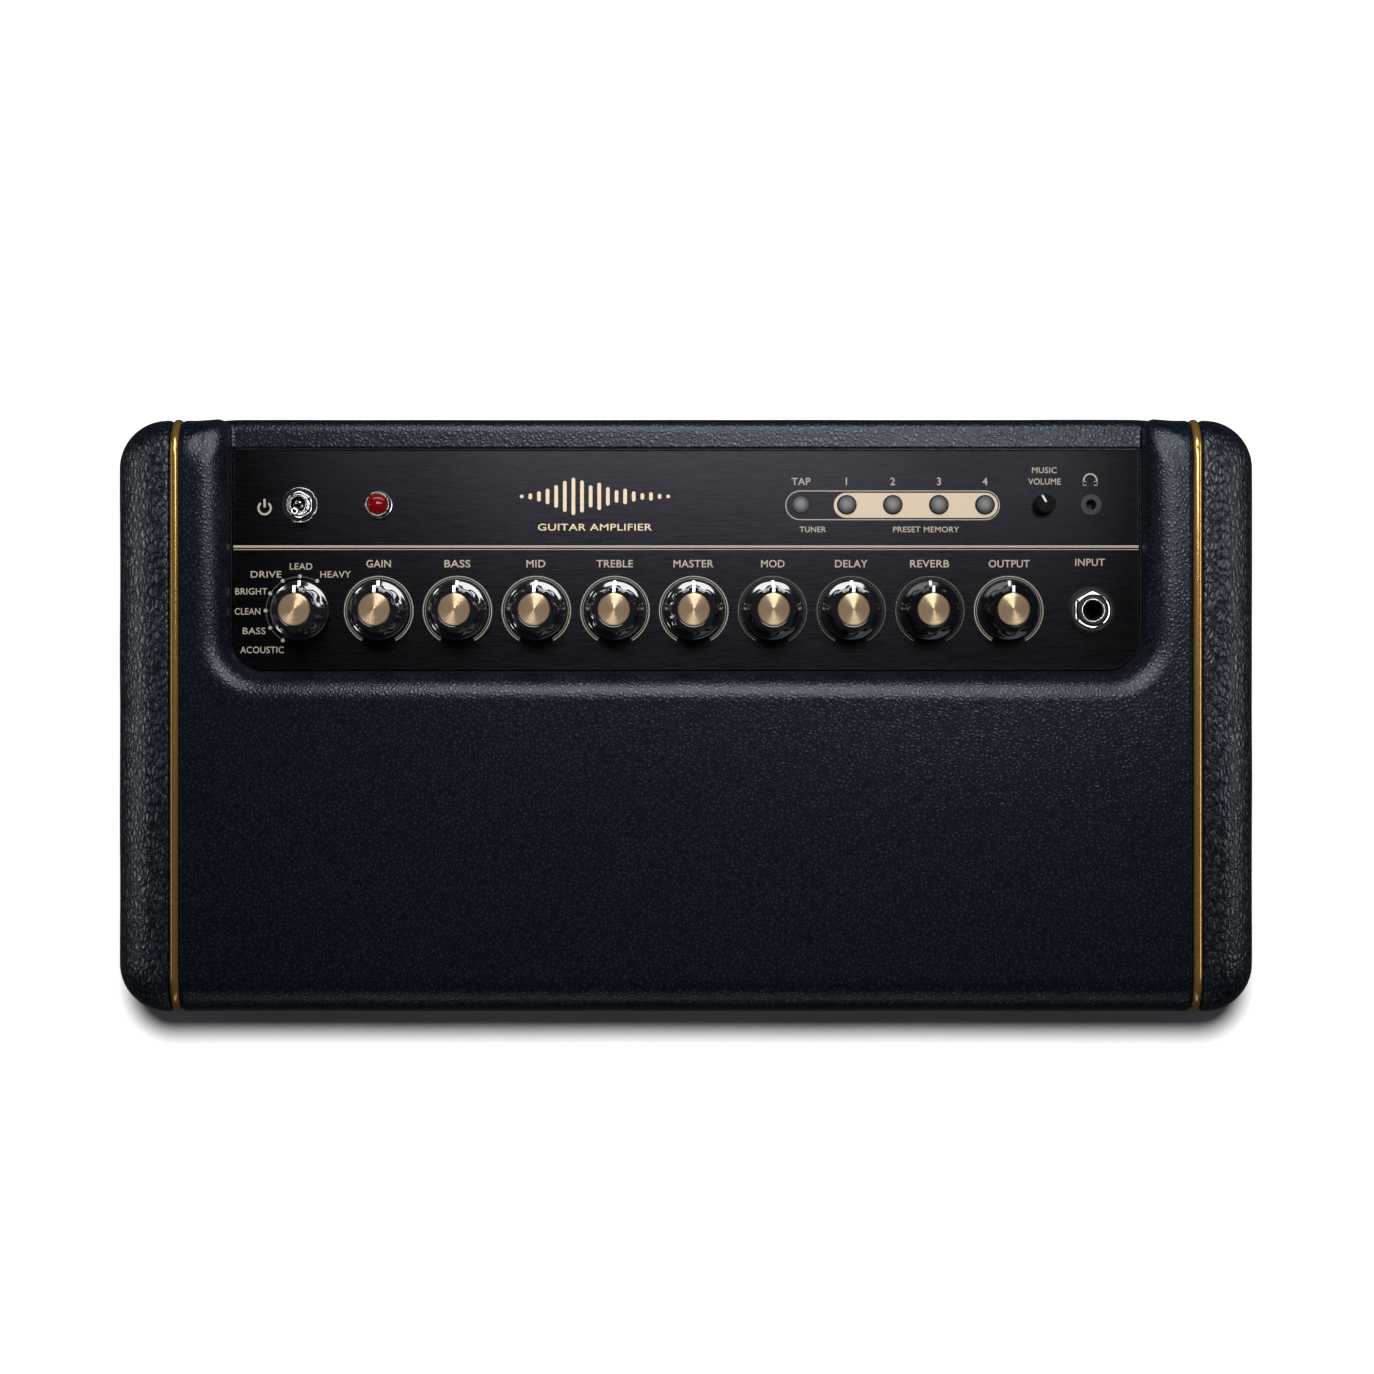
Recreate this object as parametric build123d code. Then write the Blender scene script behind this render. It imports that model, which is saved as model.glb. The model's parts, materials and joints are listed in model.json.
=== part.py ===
from build123d import *
import math
import os

# Guitar practice amplifier: a vinyl-covered cabinet with a recessed control
# panel in its top, two drivers behind a cloth grille at the front and a vented
# rear panel. Millimetres. +Z up, front faces -Y, origin on the floor under the
# centre of the cabinet.

os.makedirs("parts", exist_ok=True)

# ---------------------------------------------------------------- cabinet sizes
W, D = 380.0, 198.0                 # width and depth over the vinyl
Z_BOT, Z_TOP = 10.0, 203.0          # underside and top of the cabinet
R_PLAN, R_TOP, R_BOT = 16.0, 12.0, 5.0   # corner, top edge and bottom edge radii
SKIN = 1.0                          # vinyl with its backing
WALL = 11.0
SEAM_X = 170.0                      # seam between centre body and end cheeks
PIPE_R, PIPE_DEPTH = 1.45, 0.6      # piping cord radius, centre below surface
LIP_X, BED_R = 2.9, 1.6             # seam groove: outer edge from seam, bed radius
LIP_R = LIP_X - BED_R
INNER_BACK_Y = D / 2 - SKIN - WALL  # inner faces of the cabinet walls
INNER_Z0 = Z_BOT + SKIN + WALL
INNER_Z1 = Z_TOP - SKIN - WALL - 1

GRILLE_X, GRILLE_Z0, GRILLE_Z1, GRILLE_Y = 158.0, 24.0, 183.0, -90.0
GRILLE_R, GRILLE_BACK_Y = 5.0, GRILLE_Y - 0.7
REAR_X, REAR_Z0, REAR_Z1, REAR_Y = 150.0, 30.0, 172.0, 92.5
REAR_R = 6.0
REAR_OUT_Y = REAR_Y + 5             # outside face of the rear panel

# ---------------------------------------------------------------- panel sizes
PANEL_Z, PANEL_T = 188.0, 2.0       # top face and thickness of the control panel
FLOOR_Z = PANEL_Z - PANEL_T         # floor of the pocket under the panel
PANEL_X, PANEL_Y0, PANEL_Y1 = 152.9, 15.1, 89.5
PANEL_R = 11.4                      # front corner radius of the panel
POCKET_GAP = 0.2                    # panel edge to vinyl
ROLL_R = 9.7                        # rolled edge of the recess
RAIL_Z = 188.4                      # top of the rear rail

ROW_Y, TOP_ROW_Y = 35.4, 71.0       # knob row, switch and button row
KNOB_X0, KNOB_PITCH = -129.9, 26.5
KNOBS = ["amp_type", "gain", "bass", "mid", "treble", "master", "mod", "delay",
         "reverb", "output"]
KNOB_PLACES = {name: KNOB_X0 + KNOB_PITCH * i for i, name in enumerate(KNOBS)}
BUTTON_X0, BUTTON_PITCH = 38.6, 15.5
BUTTONS = ["tap", "preset_1", "preset_2", "preset_3", "preset_4"]
BUTTON_PLACES = {name: BUTTON_X0 + BUTTON_PITCH * i for i, name in enumerate(BUTTONS)}
TOGGLE_X, LAMP_X = KNOB_X0, KNOB_X0 + KNOB_PITCH
MUSIC_X, PHONES_X, INPUT_X = 120.4, 136.2, 136.4
SHAFT_R, MUSIC_SHAFT_R, SHAFT_CLEAR = 3.0, 2.0, 0.04
SHAFT_Z, SHAFT_HOLE_Z = 178.6, 178.0     # shaft foot, bottom of its hole
BOARD_Z, BOARD_T = 175.0, 1.6       # control board
BOARD_TOP = BOARD_Z + BOARD_T
UNDER_Z = FLOOR_Z - 1.5             # top of the bodies that stay clear of the panel

# ---------------------------------------------------------------- places
SPK_X, SPK_Z, SPK_SCREW_RING = 82.0, 103.5, 49.4
PORT_X, PORT_Z = -78.0, 105.0
PLATE_X, PLATE_Z, PLATE_W, PLATE_H = 72.0, 62.0, 96.0, 36.0
PLATE_OUT_Y = REAR_OUT_Y + 1.2
DC_X, USB_X = 46.0, 74.0
AMP_Y0, AMP_Y1 = 76.0, 77.6         # front and back of the amplifier board
FOOT_X, FOOT_Y = 150.0, 74.0
SCREW_R, HEAD_R = 1.6, 3.0
PILOT_R = SCREW_R + 0.02
PEG_R = 3.0

SPEAKERS = [(-SPK_X, SPK_Z), (SPK_X, SPK_Z)]
SPEAKER_SCREWS = [(x + SPK_SCREW_RING * math.cos(math.radians(a)),
                   z + SPK_SCREW_RING * math.sin(math.radians(a)))
                  for x, z in SPEAKERS for a in (45, 135, 225, 315)]
REAR_SCREWS = [(x, z) for x in (-146.0, 146.0) for z in (34.0, 101.0, 168.0)]
REAR_SCREWS += [(x, z) for x in (-50.0, 50.0) for z in (34.0, 168.0)]
PLATE_SCREWS = [(PLATE_X + sx * (PLATE_W / 2 - 5), PLATE_Z + sz * (PLATE_H / 2 - 5))
                for sx in (-1, 1) for sz in (-1, 1)]
FEET = [(sx * FOOT_X, sy * FOOT_Y) for sx in (-1, 1) for sy in (-1, 1)]
PEGS = [(x, z) for x in (-150, 150) for z in (32, 175)]
BOARD_POSTS = [(28.0, 43.5), (128.0, 43.5), (28.0, 97.0), (128.0, 97.0)]

DIAG = math.sqrt(0.5)               # puts the middle point on a quarter arc


# ---------------------------------------------------------------- solid helpers
def box(x0, x1, y0, y1, z0, z1):
    return Pos((x0 + x1) / 2, (y0 + y1) / 2, (z0 + z1) / 2) * Box(x1 - x0, y1 - y0, z1 - z0)


def box_up(x, y, half_x, half_y, z0, z1):
    """Box centred on the vertical through (x, y)."""
    return box(x - half_x, x + half_x, y - half_y, y + half_y, z0, z1)


def box_along(x, z, half_x, half_z, y0, y1):
    """Box centred on the line along Y through (x, z)."""
    return box(x - half_x, x + half_x, y0, y1, z - half_z, z + half_z)


def cyl(x, y, z0, z1, r):
    return Pos(x, y, (z0 + z1) / 2) * Cylinder(r, z1 - z0)


def cyl_y(x, z, y0, y1, r):
    return Pos(x, (y0 + y1) / 2, z) * Rot(90, 0, 0) * Cylinder(r, y1 - y0)


def panel_drill(x, y, r):
    """Cutter through everything at the level of the control panel."""
    return cyl(x, y, 180, 200, r)


def rear_drill(x, z, r):
    """Cutter through the rear panel and whatever sits on it."""
    return cyl_y(x, z, 80, 110, r)


def hexagon(x, y, z0, z1, across):
    flat = Pos(x, y, z0) * RegularPolygon(across / 2, 6, major_radius=False)
    return extrude(flat, z1 - z0)


def opening(half_x, z0, z1, y0, y1, r):
    """Block along Y with rounded corners, centred on x = 0."""
    block = box(-half_x, half_x, y0, y1, z0, z1)
    return fillet(block.edges().filter_by(Axis.Y), r)


def cut_cross(head, x, z, y0, y1, reach, half):
    """Cut a cross slot into a screw head that lies along Y."""
    head = head - box_along(x, z, reach, half, y0, y1)
    return head - box_along(x, z, half, reach, y0, y1)


def save(name, *shapes):
    found = [solid for shape in shapes for solid in shape.solids()]
    body = Compound(children=found) if len(found) > 1 else found[0]
    export_step(body, f"parts/{name}.step")


# ---------------------------------------------------------------- outlines
# An outline is a list of steps: a point for a straight line to it, or a
# (middle, end) pair of points for an arc. The first step is the start point.
def as_steps(outline):
    return [s if isinstance(s[0], tuple) else (s,) for s in outline]


def place(outline, to_point):
    """Turn each 2D point of an outline into a 3D one."""
    return [tuple(to_point(*p) for p in s) for s in as_steps(outline)]


def edges_through(outline):
    steps = as_steps(outline)
    edges, at = [], steps[0][-1]
    for step in steps[1:]:
        if (Vector(*at) - Vector(*step[-1])).length < 1e-6:
            continue
        if len(step) == 1:
            edges.append(Edge.make_line(at, step[0]))
        else:
            edges.append(Edge.make_three_point_arc(at, *step))
        at = step[-1]
    return edges


def closed_wire(outline):
    steps = as_steps(outline)
    return Wire(edges_through(steps + [steps[0][-1]]))


def rev_z(x, y, profile, base=0.0):
    """Revolve (radius, height above base) about the vertical through (x, y)."""
    up = place(profile, lambda r, z: (x + r, y, base + z))
    return revolve(Face(closed_wire(up)), Axis((x, y, 0), (0, 0, 1)), 360)


def rev_y(x, z, profile, base=0.0):
    """Revolve (radius, distance behind base) about the line along Y through (x, z)."""
    along = place(profile, lambda r, y: (x + r, base + y, z))
    return revolve(Face(closed_wire(along)), Axis((x, 0, z), (0, 1, 0)), 360)


def dome(r, z0, z1):
    """Arc step over a spherical crown from (r, z0) to (0, z1)."""
    height = z1 - z0
    radius = (r * r + height * height) / (2 * height)   # signed like the height
    a = math.asin(r / abs(radius)) / 2
    return ((abs(radius) * math.sin(a), z1 - radius + radius * math.cos(a)), (0, z1))


def panel_plan(x, y, r, far, z=0.0):
    """Panel outline: front edge at y with rounded corners, back edge at far."""
    k = r * (1 - DIAG)
    return [(-x, far, z), (-x, y + r, z), ((-x + k, y + k, z), (-x + r, y, z)),
            (x - r, y, z), ((x - k, y + k, z), (x, y + r, z)), (x, far, z)]


# ---------------------------------------------------------------- outer form
# Each form is built twice: inset 0 is the vinyl surface, inset SKIN the wood.
def envelope(inset):
    block = box(-W / 2 + inset, W / 2 - inset, -D / 2 + inset, D / 2 - inset,
                Z_BOT + inset, Z_TOP - inset)
    block = fillet(block.edges().filter_by(Axis.Z), R_PLAN - inset)
    block = fillet(block.faces().sort_by(Axis.Z)[-1].edges(), R_TOP - inset)
    return fillet(block.faces().sort_by(Axis.Z)[0].edges(), R_BOT - inset)


def centre_span():
    return box(-SEAM_X, SEAM_X, -200, 200, -10, 300)


def seam_loop(x, inset):
    """Line round the cabinet in the plane x, starting at the middle of the top."""
    y0, y1 = -D / 2 + inset, D / 2 - inset
    z0, z1 = Z_BOT + inset, Z_TOP - inset
    rt, rb = R_TOP - inset, R_BOT - inset
    kt, kb = rt * (1 - DIAG), rb * (1 - DIAG)
    outline = [
        (0, z1),
        (y1 - rt, z1), ((y1 - kt, z1 - kt), (y1, z1 - rt)),
        (y1, z0 + rb), ((y1 - kb, z0 + kb), (y1 - rb, z0)),
        (y0 + rb, z0), ((y0 + kb, z0 + kb), (y0, z0 + rb)),
        (y0, z1 - rt), ((y0 + kt, z1 - kt), (y0 + rt, z1)),
    ]
    return closed_wire(place(outline, lambda y, z: (x, y, z)))


def groove(x, inset):
    """Seam groove round the cabinet: two rolled lips over a round bed."""
    lip, bed = LIP_R - inset, BED_R + inset
    over, top, axis_z = Z_TOP + 0.7, Z_TOP - inset, Z_TOP - LIP_R
    mid_x, mid_z = LIP_X - lip * DIAG, axis_z + lip * DIAG
    section = place([
        (-LIP_X, over), (-LIP_X, top), ((-mid_x, mid_z), (-bed, axis_z)),
        ((0, axis_z - bed), (bed, axis_z)), ((mid_x, mid_z), (LIP_X, top)), (LIP_X, over),
    ], lambda across, z: (x + across, 0, z))
    return sweep(Face(closed_wire(section)), path=seam_loop(x, 0))


def recess(inset):
    """Everything taken out of the top for the panel: trench, rolled edge and pocket."""
    grow = POCKET_GAP + inset
    x, y, corner, far = PANEL_X + grow, PANEL_Y0 - grow, PANEL_R + grow, D / 2 + 12
    plan = Face(closed_wire(panel_plan(x, y, corner, far)))
    trench = Pos(0, 0, RAIL_Z - inset) * extrude(plan, 30)

    r, roll_z = ROLL_R - inset, Z_TOP - ROLL_R
    over = roll_z + r + 4 + inset
    section = place([
        (-x + 1.5, roll_z), (-x, roll_z),
        ((-x - r + r * DIAG, roll_z + r * DIAG), (-x - r, roll_z + r)),
        (-x - r, over), (-x + 1.5, over),
    ], lambda across, z: (across, far, z))
    path = Wire(edges_through(panel_plan(x, y, corner, far, roll_z)))
    roll = sweep(Face(closed_wire(section)), path=path)

    pocket = extrude(plan, 30) & box(-200, 200, y, PANEL_Y1 + grow, 0, 30)
    return trench + roll + Pos(0, 0, FLOOR_Z) * pocket


def centre_form(inset):
    """The centre body's outside, moved in by inset, with its openings."""
    form = envelope(inset) & centre_span()
    form = form - recess(inset)
    form = form - opening(GRILLE_X + inset, GRILLE_Z0 - inset, GRILLE_Z1 + inset,
                          -120, GRILLE_Y, GRILLE_R + inset)
    form = form - opening(REAR_X + inset, REAR_Z0 - inset, REAR_Z1 + inset,
                          REAR_Y, 120, REAR_R + inset)
    for side in (-1, 1):
        form = form - groove(side * SEAM_X, inset)
    return form


def end_form(inset):
    """Both end cheeks' outside, moved in by inset."""
    form = envelope(inset) - centre_span()
    for side in (-1, 1):
        form = form - groove(side * SEAM_X, inset)
    return form


def edges_at(shape, y, half_x, z0, z1):
    """Edges of an opening on the plane y."""
    found = []
    for edge in shape.edges():
        bounds, mid = edge.bounding_box(), edge.center()
        on_plane = abs(bounds.min.Y - y) < 1e-3 and abs(bounds.max.Y - y) < 1e-3
        if on_plane and abs(mid.X) < half_x + 0.5 and z0 - 0.5 < mid.Z < z1 + 0.5:
            found.append(edge)
    return found


def rounded_centre_form():
    form = centre_form(0)
    for y, half_x, z0, z1, r in ((-D / 2, GRILLE_X, GRILLE_Z0, GRILLE_Z1, 2.0),
                                 (D / 2, REAR_X, REAR_Z0, REAR_Z1, 1.2)):
        # Guards the fillet: if it fails, that opening keeps its square edge.
        try:
            form = fillet(edges_at(form, y, half_x, z0, z1), r)
        except Exception:
            pass
    return form


# ---------------------------------------------------------------- cabinet
def centre_carcass(wood, foot_pilots):
    side_x = SEAM_X + 1
    cavity = box(-side_x, side_x, GRILLE_Y, INNER_BACK_Y, INNER_Z0, FLOOR_Z - 10)
    cavity = cavity + box(-side_x, side_x, GRILLE_Y, 2.0, FLOOR_Z - 12, INNER_Z1)
    body = wood - cavity
    body = body - box(-146, 146, 22, 83, FLOOR_Z - 12, FLOOR_Z + 1)     # for the tub
    body = body - opening(142, 38, 164, INNER_BACK_Y - 2, REAR_Y + 1, 6)
    rear_pilots = [cyl_y(x, z, INNER_BACK_Y, 99, PILOT_R) for x, z in REAR_SCREWS]
    for pilot in foot_pilots + rear_pilots:
        body = body - pilot
    return body


def centre_cover(wood, foot_pilots):
    cover = rounded_centre_form() - wood
    for pilot in foot_pilots:
        cover = cover - pilot
    return cover


def piping(side):
    x = side * SEAM_X
    start = Plane(origin=(x, 0, Z_TOP - PIPE_DEPTH), x_dir=(1, 0, 0), z_dir=(0, 1, 0))
    return sweep(start * Circle(PIPE_R), path=seam_loop(x, PIPE_DEPTH))


centre_wood, end_wood = centre_form(SKIN), end_form(SKIN)
pilots = [cyl(x, y, 0, 19, PILOT_R) for x, y in FEET]
save("centre_carcass", centre_carcass(centre_wood, pilots))
save("centre_vinyl_cover", centre_cover(centre_wood, pilots))
save("end_cheeks", end_wood)
save("end_vinyl_covers", end_form(0) - end_wood)
save("gold_piping", piping(-1), piping(1))


# ---------------------------------------------------------------- baffle and grille
def front_baffle():
    side_x = SEAM_X - 0.3
    board = box(-side_x, side_x, GRILLE_Y, GRILLE_Y + 9, INNER_Z0, INNER_Z1)
    for x, z in SPEAKERS:
        board = board - cyl_y(x, z, -100, -70, 46.0)
    for x, z in SPEAKER_SCREWS:
        board = board - cyl_y(x, z, -100, GRILLE_Y + 7.5, 1.52)
    for x, z in PEGS:
        board = board - cyl_y(x, z, GRILLE_Y - 2, GRILLE_Y + 6.5, PEG_R + 0.05)
    return board


def grille_blank():
    """The grille frame before its windows and pegs."""
    return opening(GRILLE_X - 1.2, GRILLE_Z0 + 1.2, GRILLE_Z1 - 1.2,
                   GRILLE_Y - 5.7, GRILLE_BACK_Y, 4)


def grille_frame():
    frame = grille_blank()
    for x0, x1 in ((-143, -8), (8, 143)):
        window = box(x0, x1, -100, -80, 39, 168)
        frame = frame - fillet(window.edges().filter_by(Axis.Y), 8)
    for x, z in PEGS:
        frame = frame + cyl_y(x, z, GRILLE_BACK_Y, GRILLE_Y + 6, PEG_R)
    return frame


def grille_cloth():
    """Cloth over the front and sides of the frame."""
    cloth = opening(GRILLE_X - 0.4, GRILLE_Z0 + 0.4, GRILLE_Z1 - 0.4,
                    GRILLE_Y - 6.5, GRILLE_BACK_Y, 4.8)
    return cloth - grille_blank()


save("front_baffle", front_baffle())
save("grille_frame", grille_frame())
save("grille_cloth", grille_cloth())

# ---------------------------------------------------------------- drivers
# Profiles: (radius, distance behind the front face of the baffle).
BASKET = [(44.1, -2), (52.5, -2), (52.5, 0), (45.6, 0), (45.6, 4), (27, 28), (27, 30),
          (12.5, 30), (12.5, 28.5), (25.8, 28.5), (44.1, 4.4)]
FRONT_PLATE = [(11.4, 30), (30, 30), (30, 35), (11.4, 35)]
FERRITE = [(16, 35), (35, 35), (35, 49), (16, 49)]
YOKE = [(0, 29.5), (9.6, 29.5), (9.6, 49), (32, 49), (32, 54), (0, 54)]
PAPER = [(10.8, 14.4), (37.3, -1.9), (39.5, -1.9), (39.5, -1.2), (37.6, -1.2), (10.8, 15.4)]
FORMER = [(10.2, 13.5), (10.8, 13.5), (10.8, 44), (10.2, 44)]
DUST_CAP = [(0, 9.3), (0, 8.8), (dome(14.0, 12.4, 8.8)[0], (14.0, 12.4)), (13.4, 12.75),
            dome(13.4, 12.75, 9.3)]
SURROUND = [(37.5, -2.5), (39.5, -2.5), ((42.0, -4.5), (44.5, -2.6)), (46.4, -2.6),
            (46.4, -2.0), (44.3, -2.0), ((42.0, -3.9), (39.6, -1.95)), (37.5, -1.9)]
SPIDER = [(10.9, 23.6), ((14.5, 22.6), (18, 23.6)), ((21.5, 24.6), (25, 23.6)),
          (27.5, 23.6), (27.5, 24.1), (25, 24.1),
          ((21.5, 25.1), (18, 24.1)), ((14.5, 23.1), (10.9, 24.1))]


def basket(cx, cz):
    body = rev_y(cx, cz, BASKET, GRILLE_Y)
    for k in range(6):
        window = box(-7.5, 7.5, GRILLE_Y + 6.5, GRILLE_Y + 24, 26, 48)
        window = fillet(window.edges().filter_by(Axis.Z), 3)
        body = body - Pos(cx, 0, cz) * Rot(0, 60 * k + 30, 0) * window
    for x, z in SPEAKER_SCREWS:
        body = body - cyl_y(x, z, GRILLE_Y - 4, GRILLE_Y + 1, 1.6)
    return body


def turned(centres, *profiles):
    """The driver profiles revolved about each centre."""
    return [rev_y(x, z, profile, GRILLE_Y) for x, z in centres for profile in profiles]


def speaker_screw(x, z):
    head = cyl_y(x, z, GRILLE_Y - 3.6, GRILLE_Y - 2, 2.7)
    head = cut_cross(head, x, z, GRILLE_Y - 4, GRILLE_Y - 3, reach=1.8, half=0.35)
    return head + cyl_y(x, z, GRILLE_Y - 2.2, GRILLE_Y + 7, 1.5)


save("speaker_baskets", *[basket(x, z) for x, z in SPEAKERS])
save("speaker_magnets", *turned(SPEAKERS, FRONT_PLATE, FERRITE, YOKE))
save("speaker_surrounds", *turned(SPEAKERS, SURROUND, SPIDER))
save("speaker_screws", *[speaker_screw(x, z) for x, z in SPEAKER_SCREWS])
for side_name, centre in zip(("left", "right"), SPEAKERS):
    save(f"{side_name}_speaker_cone", *turned([centre], PAPER, FORMER, DUST_CAP))


# ---------------------------------------------------------------- rear panel
def rear_panel():
    panel = opening(REAR_X - 0.3, REAR_Z0 + 0.3, REAR_Z1 - 0.3, REAR_Y, REAR_OUT_Y,
                    REAR_R - 0.3)
    panel = panel - rear_drill(PORT_X, PORT_Z, 27.2)
    panel = panel - rear_drill(DC_X, PLATE_Z, 6.2)
    panel = panel - box_along(USB_X, PLATE_Z, 8, 8, 80, 110)
    for x, z in REAR_SCREWS:
        panel = panel - rear_drill(x, z, SCREW_R + 0.1)
    for x, z in PLATE_SCREWS:
        panel = panel - rear_drill(x, z, PILOT_R)
    return panel


def port_tube():
    """Tube with a flared flange on the outside of the rear panel."""
    front = 38.0 - REAR_OUT_Y
    return rev_y(PORT_X, PORT_Z, [
        (25.0, front), (27.0, front), (27.0, 0), (33.0, 0), (33.0, 0.7), (31.2, 1.4),
        (29.4, 1.4), ((26.3, 0.1), (25.0, -3.0))], REAR_OUT_Y)


def connector_plate():
    plate = box_along(PLATE_X, PLATE_Z, PLATE_W / 2, PLATE_H / 2, REAR_OUT_Y, PLATE_OUT_Y)
    plate = fillet(plate.edges().filter_by(Axis.Y), 3)
    plate = plate - rear_drill(DC_X, PLATE_Z, 5.6)
    plate = plate - box_along(USB_X, PLATE_Z, 6.2, 5.7, 80, 110)
    for x, z in PLATE_SCREWS:
        plate = plate - rear_drill(x, z, SCREW_R + 0.1)
    return plate


def dc_jack():
    body = cyl_y(DC_X, PLATE_Z, AMP_Y1, REAR_OUT_Y + 1.4, 5.5)
    body = body - cyl_y(DC_X, PLATE_Z, 88.0, 110, 2.9)
    return body + cyl_y(DC_X, PLATE_Z, 88.0, REAR_OUT_Y - 0.8, 1.05)


def usb_socket():
    body = box_along(USB_X, PLATE_Z, 6.0, 5.5, AMP_Y1, REAR_OUT_Y + 1.3)
    body = body - box_along(USB_X, PLATE_Z, 4.3, 4.0, 86.0, 110)
    return body + box_along(USB_X, PLATE_Z, 2.9, 1.6, 85.0, REAR_OUT_Y - 0.6)


def amplifier_board():
    """Upright board with posts behind it, a finned heat sink and components in front."""
    board = box(18, 138, AMP_Y0, AMP_Y1, 38, 104)
    for x, z in BOARD_POSTS:
        board = board - cyl_y(x, z, 70, 80, 1.6)
    posts = [cyl_y(x, z, AMP_Y1, REAR_Y, 3.0) for x, z in BOARD_POSTS]
    sink = box(88, 128, 58, AMP_Y0, 56, 86)
    for k in range(6):
        sink = sink - box(91.5 + 6 * k, 94.5 + 6 * k, 50, 72, 50, 92)
    cans = [cyl_y(x, z, 58, AMP_Y0, 5.0) for x, z in ((34, 84), (48, 84), (34, 68))]
    # x0, x1, front y, z0, z1
    blocks = [box(x0, x1, y0, AMP_Y0, z0, z1) for x0, x1, y0, z0, z1 in
              ((56, 74, 70, 78, 96), (60, 80, 74.6, 48, 68), (30, 44, 66, 44, 56))]
    return [board, *posts, sink, *cans, *blocks]


save("rear_panel", rear_panel())
save("port_tube", port_tube())
save("connector_plate", connector_plate())
save("dc_power_jack", dc_jack())
save("usb_socket", usb_socket())
save("amplifier_board", *amplifier_board())


# ---------------------------------------------------------------- control panel
def control_panel():
    plan = Face(closed_wire(panel_plan(PANEL_X, PANEL_Y0, PANEL_R, PANEL_Y1)))
    panel = Pos(0, 0, FLOOR_Z) * extrude(plan, PANEL_T, dir=(0, 0, 1))
    panel = chamfer(panel.faces().sort_by(Axis.Z)[-1].edges(), 0.4)
    holes = [(x, ROW_Y, 3.6) for x in KNOB_PLACES.values()]
    holes += [(x, TOP_ROW_Y, 2.95) for x in BUTTON_PLACES.values()]
    holes += [(TOGGLE_X, TOP_ROW_Y, 3.1), (LAMP_X, TOP_ROW_Y, 3.05),
              (MUSIC_X, TOP_ROW_Y, 2.6), (PHONES_X, TOP_ROW_Y, 3.1), (INPUT_X, ROW_Y, 4.8)]
    for x, y, r in holes:
        panel = panel - panel_drill(x, y, r)
    return panel


def panel_tub():
    tub = box(-145.5, 145.5, 22.5, 82.5, 150, FLOOR_Z)
    tub = tub - box(-144.3, 144.3, 23.7, 81.3, 151.2, 200)
    return fillet(tub.edges().filter_by(Axis.Z), 0.5)


def control_board():
    """Board cut away round the input jack, with button switches and chips."""
    board = box(-142, 142, 26, 79, BOARD_Z, BOARD_TOP)
    board = board - cyl(INPUT_X, ROW_Y, 170, 180, 20) - box(120, 150, 20, 52, 170, 180)
    bits = []
    for x in BUTTON_PLACES.values():
        bits.append(box_up(x, TOP_ROW_Y, 3, 3, BOARD_TOP, BOARD_TOP + 5))
        bits.append(cyl(x, TOP_ROW_Y, BOARD_TOP + 5, 183.6, 1.6))
    # x0, x1, y0, y1, height
    for x0, x1, y0, y1, height in ((-20, -4, 58, 74, 1.6), (2, 14, 60, 72, 1.4),
                                   (-60, -48, 62, 72, 1.8), (-88, -80, 60, 66, 1.4)):
        bits.append(box(x0, x1, y0, y1, BOARD_TOP, BOARD_TOP + height))
    return [board, *bits]


def potentiometer(x):
    body = box_up(x, ROW_Y, 6.5, 7, BOARD_TOP, FLOOR_Z)
    body = fillet(body.edges().filter_by(Axis.Z), 1.0)
    body = body + cyl(x, ROW_Y, FLOOR_Z - 0.5, PANEL_Z + 3, 3.5)
    body = body - cyl(x, ROW_Y, SHAFT_HOLE_Z, 200, SHAFT_R + SHAFT_CLEAR)
    nut = hexagon(x, ROW_Y, PANEL_Z, PANEL_Z + 1.9, 10.0) - panel_drill(x, ROW_Y, 3.5)
    return [body, nut]


def music_potentiometer():
    body = box_up(MUSIC_X, TOP_ROW_Y, 5, 5, BOARD_TOP, UNDER_Z)
    return body - cyl(MUSIC_X, TOP_ROW_Y, SHAFT_HOLE_Z, 200, MUSIC_SHAFT_R + SHAFT_CLEAR)


save("control_panel", control_panel())
save("panel_tub", panel_tub())
save("control_board", *control_board())
pots = [part for x in KNOB_PLACES.values() for part in potentiometer(x)]
save("potentiometers", *pots, music_potentiometer())

# ---------------------------------------------------------------- knobs and buttons
# Profiles: (radius, height above the panel).
BORE_TOP, CAP_SEAT, CAP_TOP = 14.0, 15.7, 16.9
KNOB = [(SHAFT_R, 4.0), (6.3, 4.0), (6.3, 1.0), (9.5, 1.0), (9.8, 1.3), (9.8, 2.1),
        ((9.45, 2.85), (8.7, 3.4)), ((8.25, 3.9), (8.1, 4.7)), (7.75, 15.0),
        ((7.35, 15.95), (6.4, 16.3)), (5.75, 16.3), (5.75, CAP_SEAT), (0, CAP_SEAT),
        (0, BORE_TOP), (SHAFT_R, BORE_TOP)]
FLUTES, FLUTE_RING, FLUTE_R = 8, 9.35, 2.35
MUSIC_BORE_TOP = 8.0
MUSIC_KNOB = [(MUSIC_SHAFT_R, 0.6), (3.55, 0.6), (3.55, 2.0), (3.3, 9.0), (2.9, 9.6),
              (0, 9.6), (0, MUSIC_BORE_TOP), (MUSIC_SHAFT_R, MUSIC_BORE_TOP)]
NOTCHES, NOTCH_RING, NOTCH_R = 18, 3.75, 0.42
BUTTON = [(0, -3.5), (3.5, -3.5), (3.5, -2.7), (2.8, -2.7), (2.8, 0.9), dome(2.8, 0.9, 1.8)]


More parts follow.
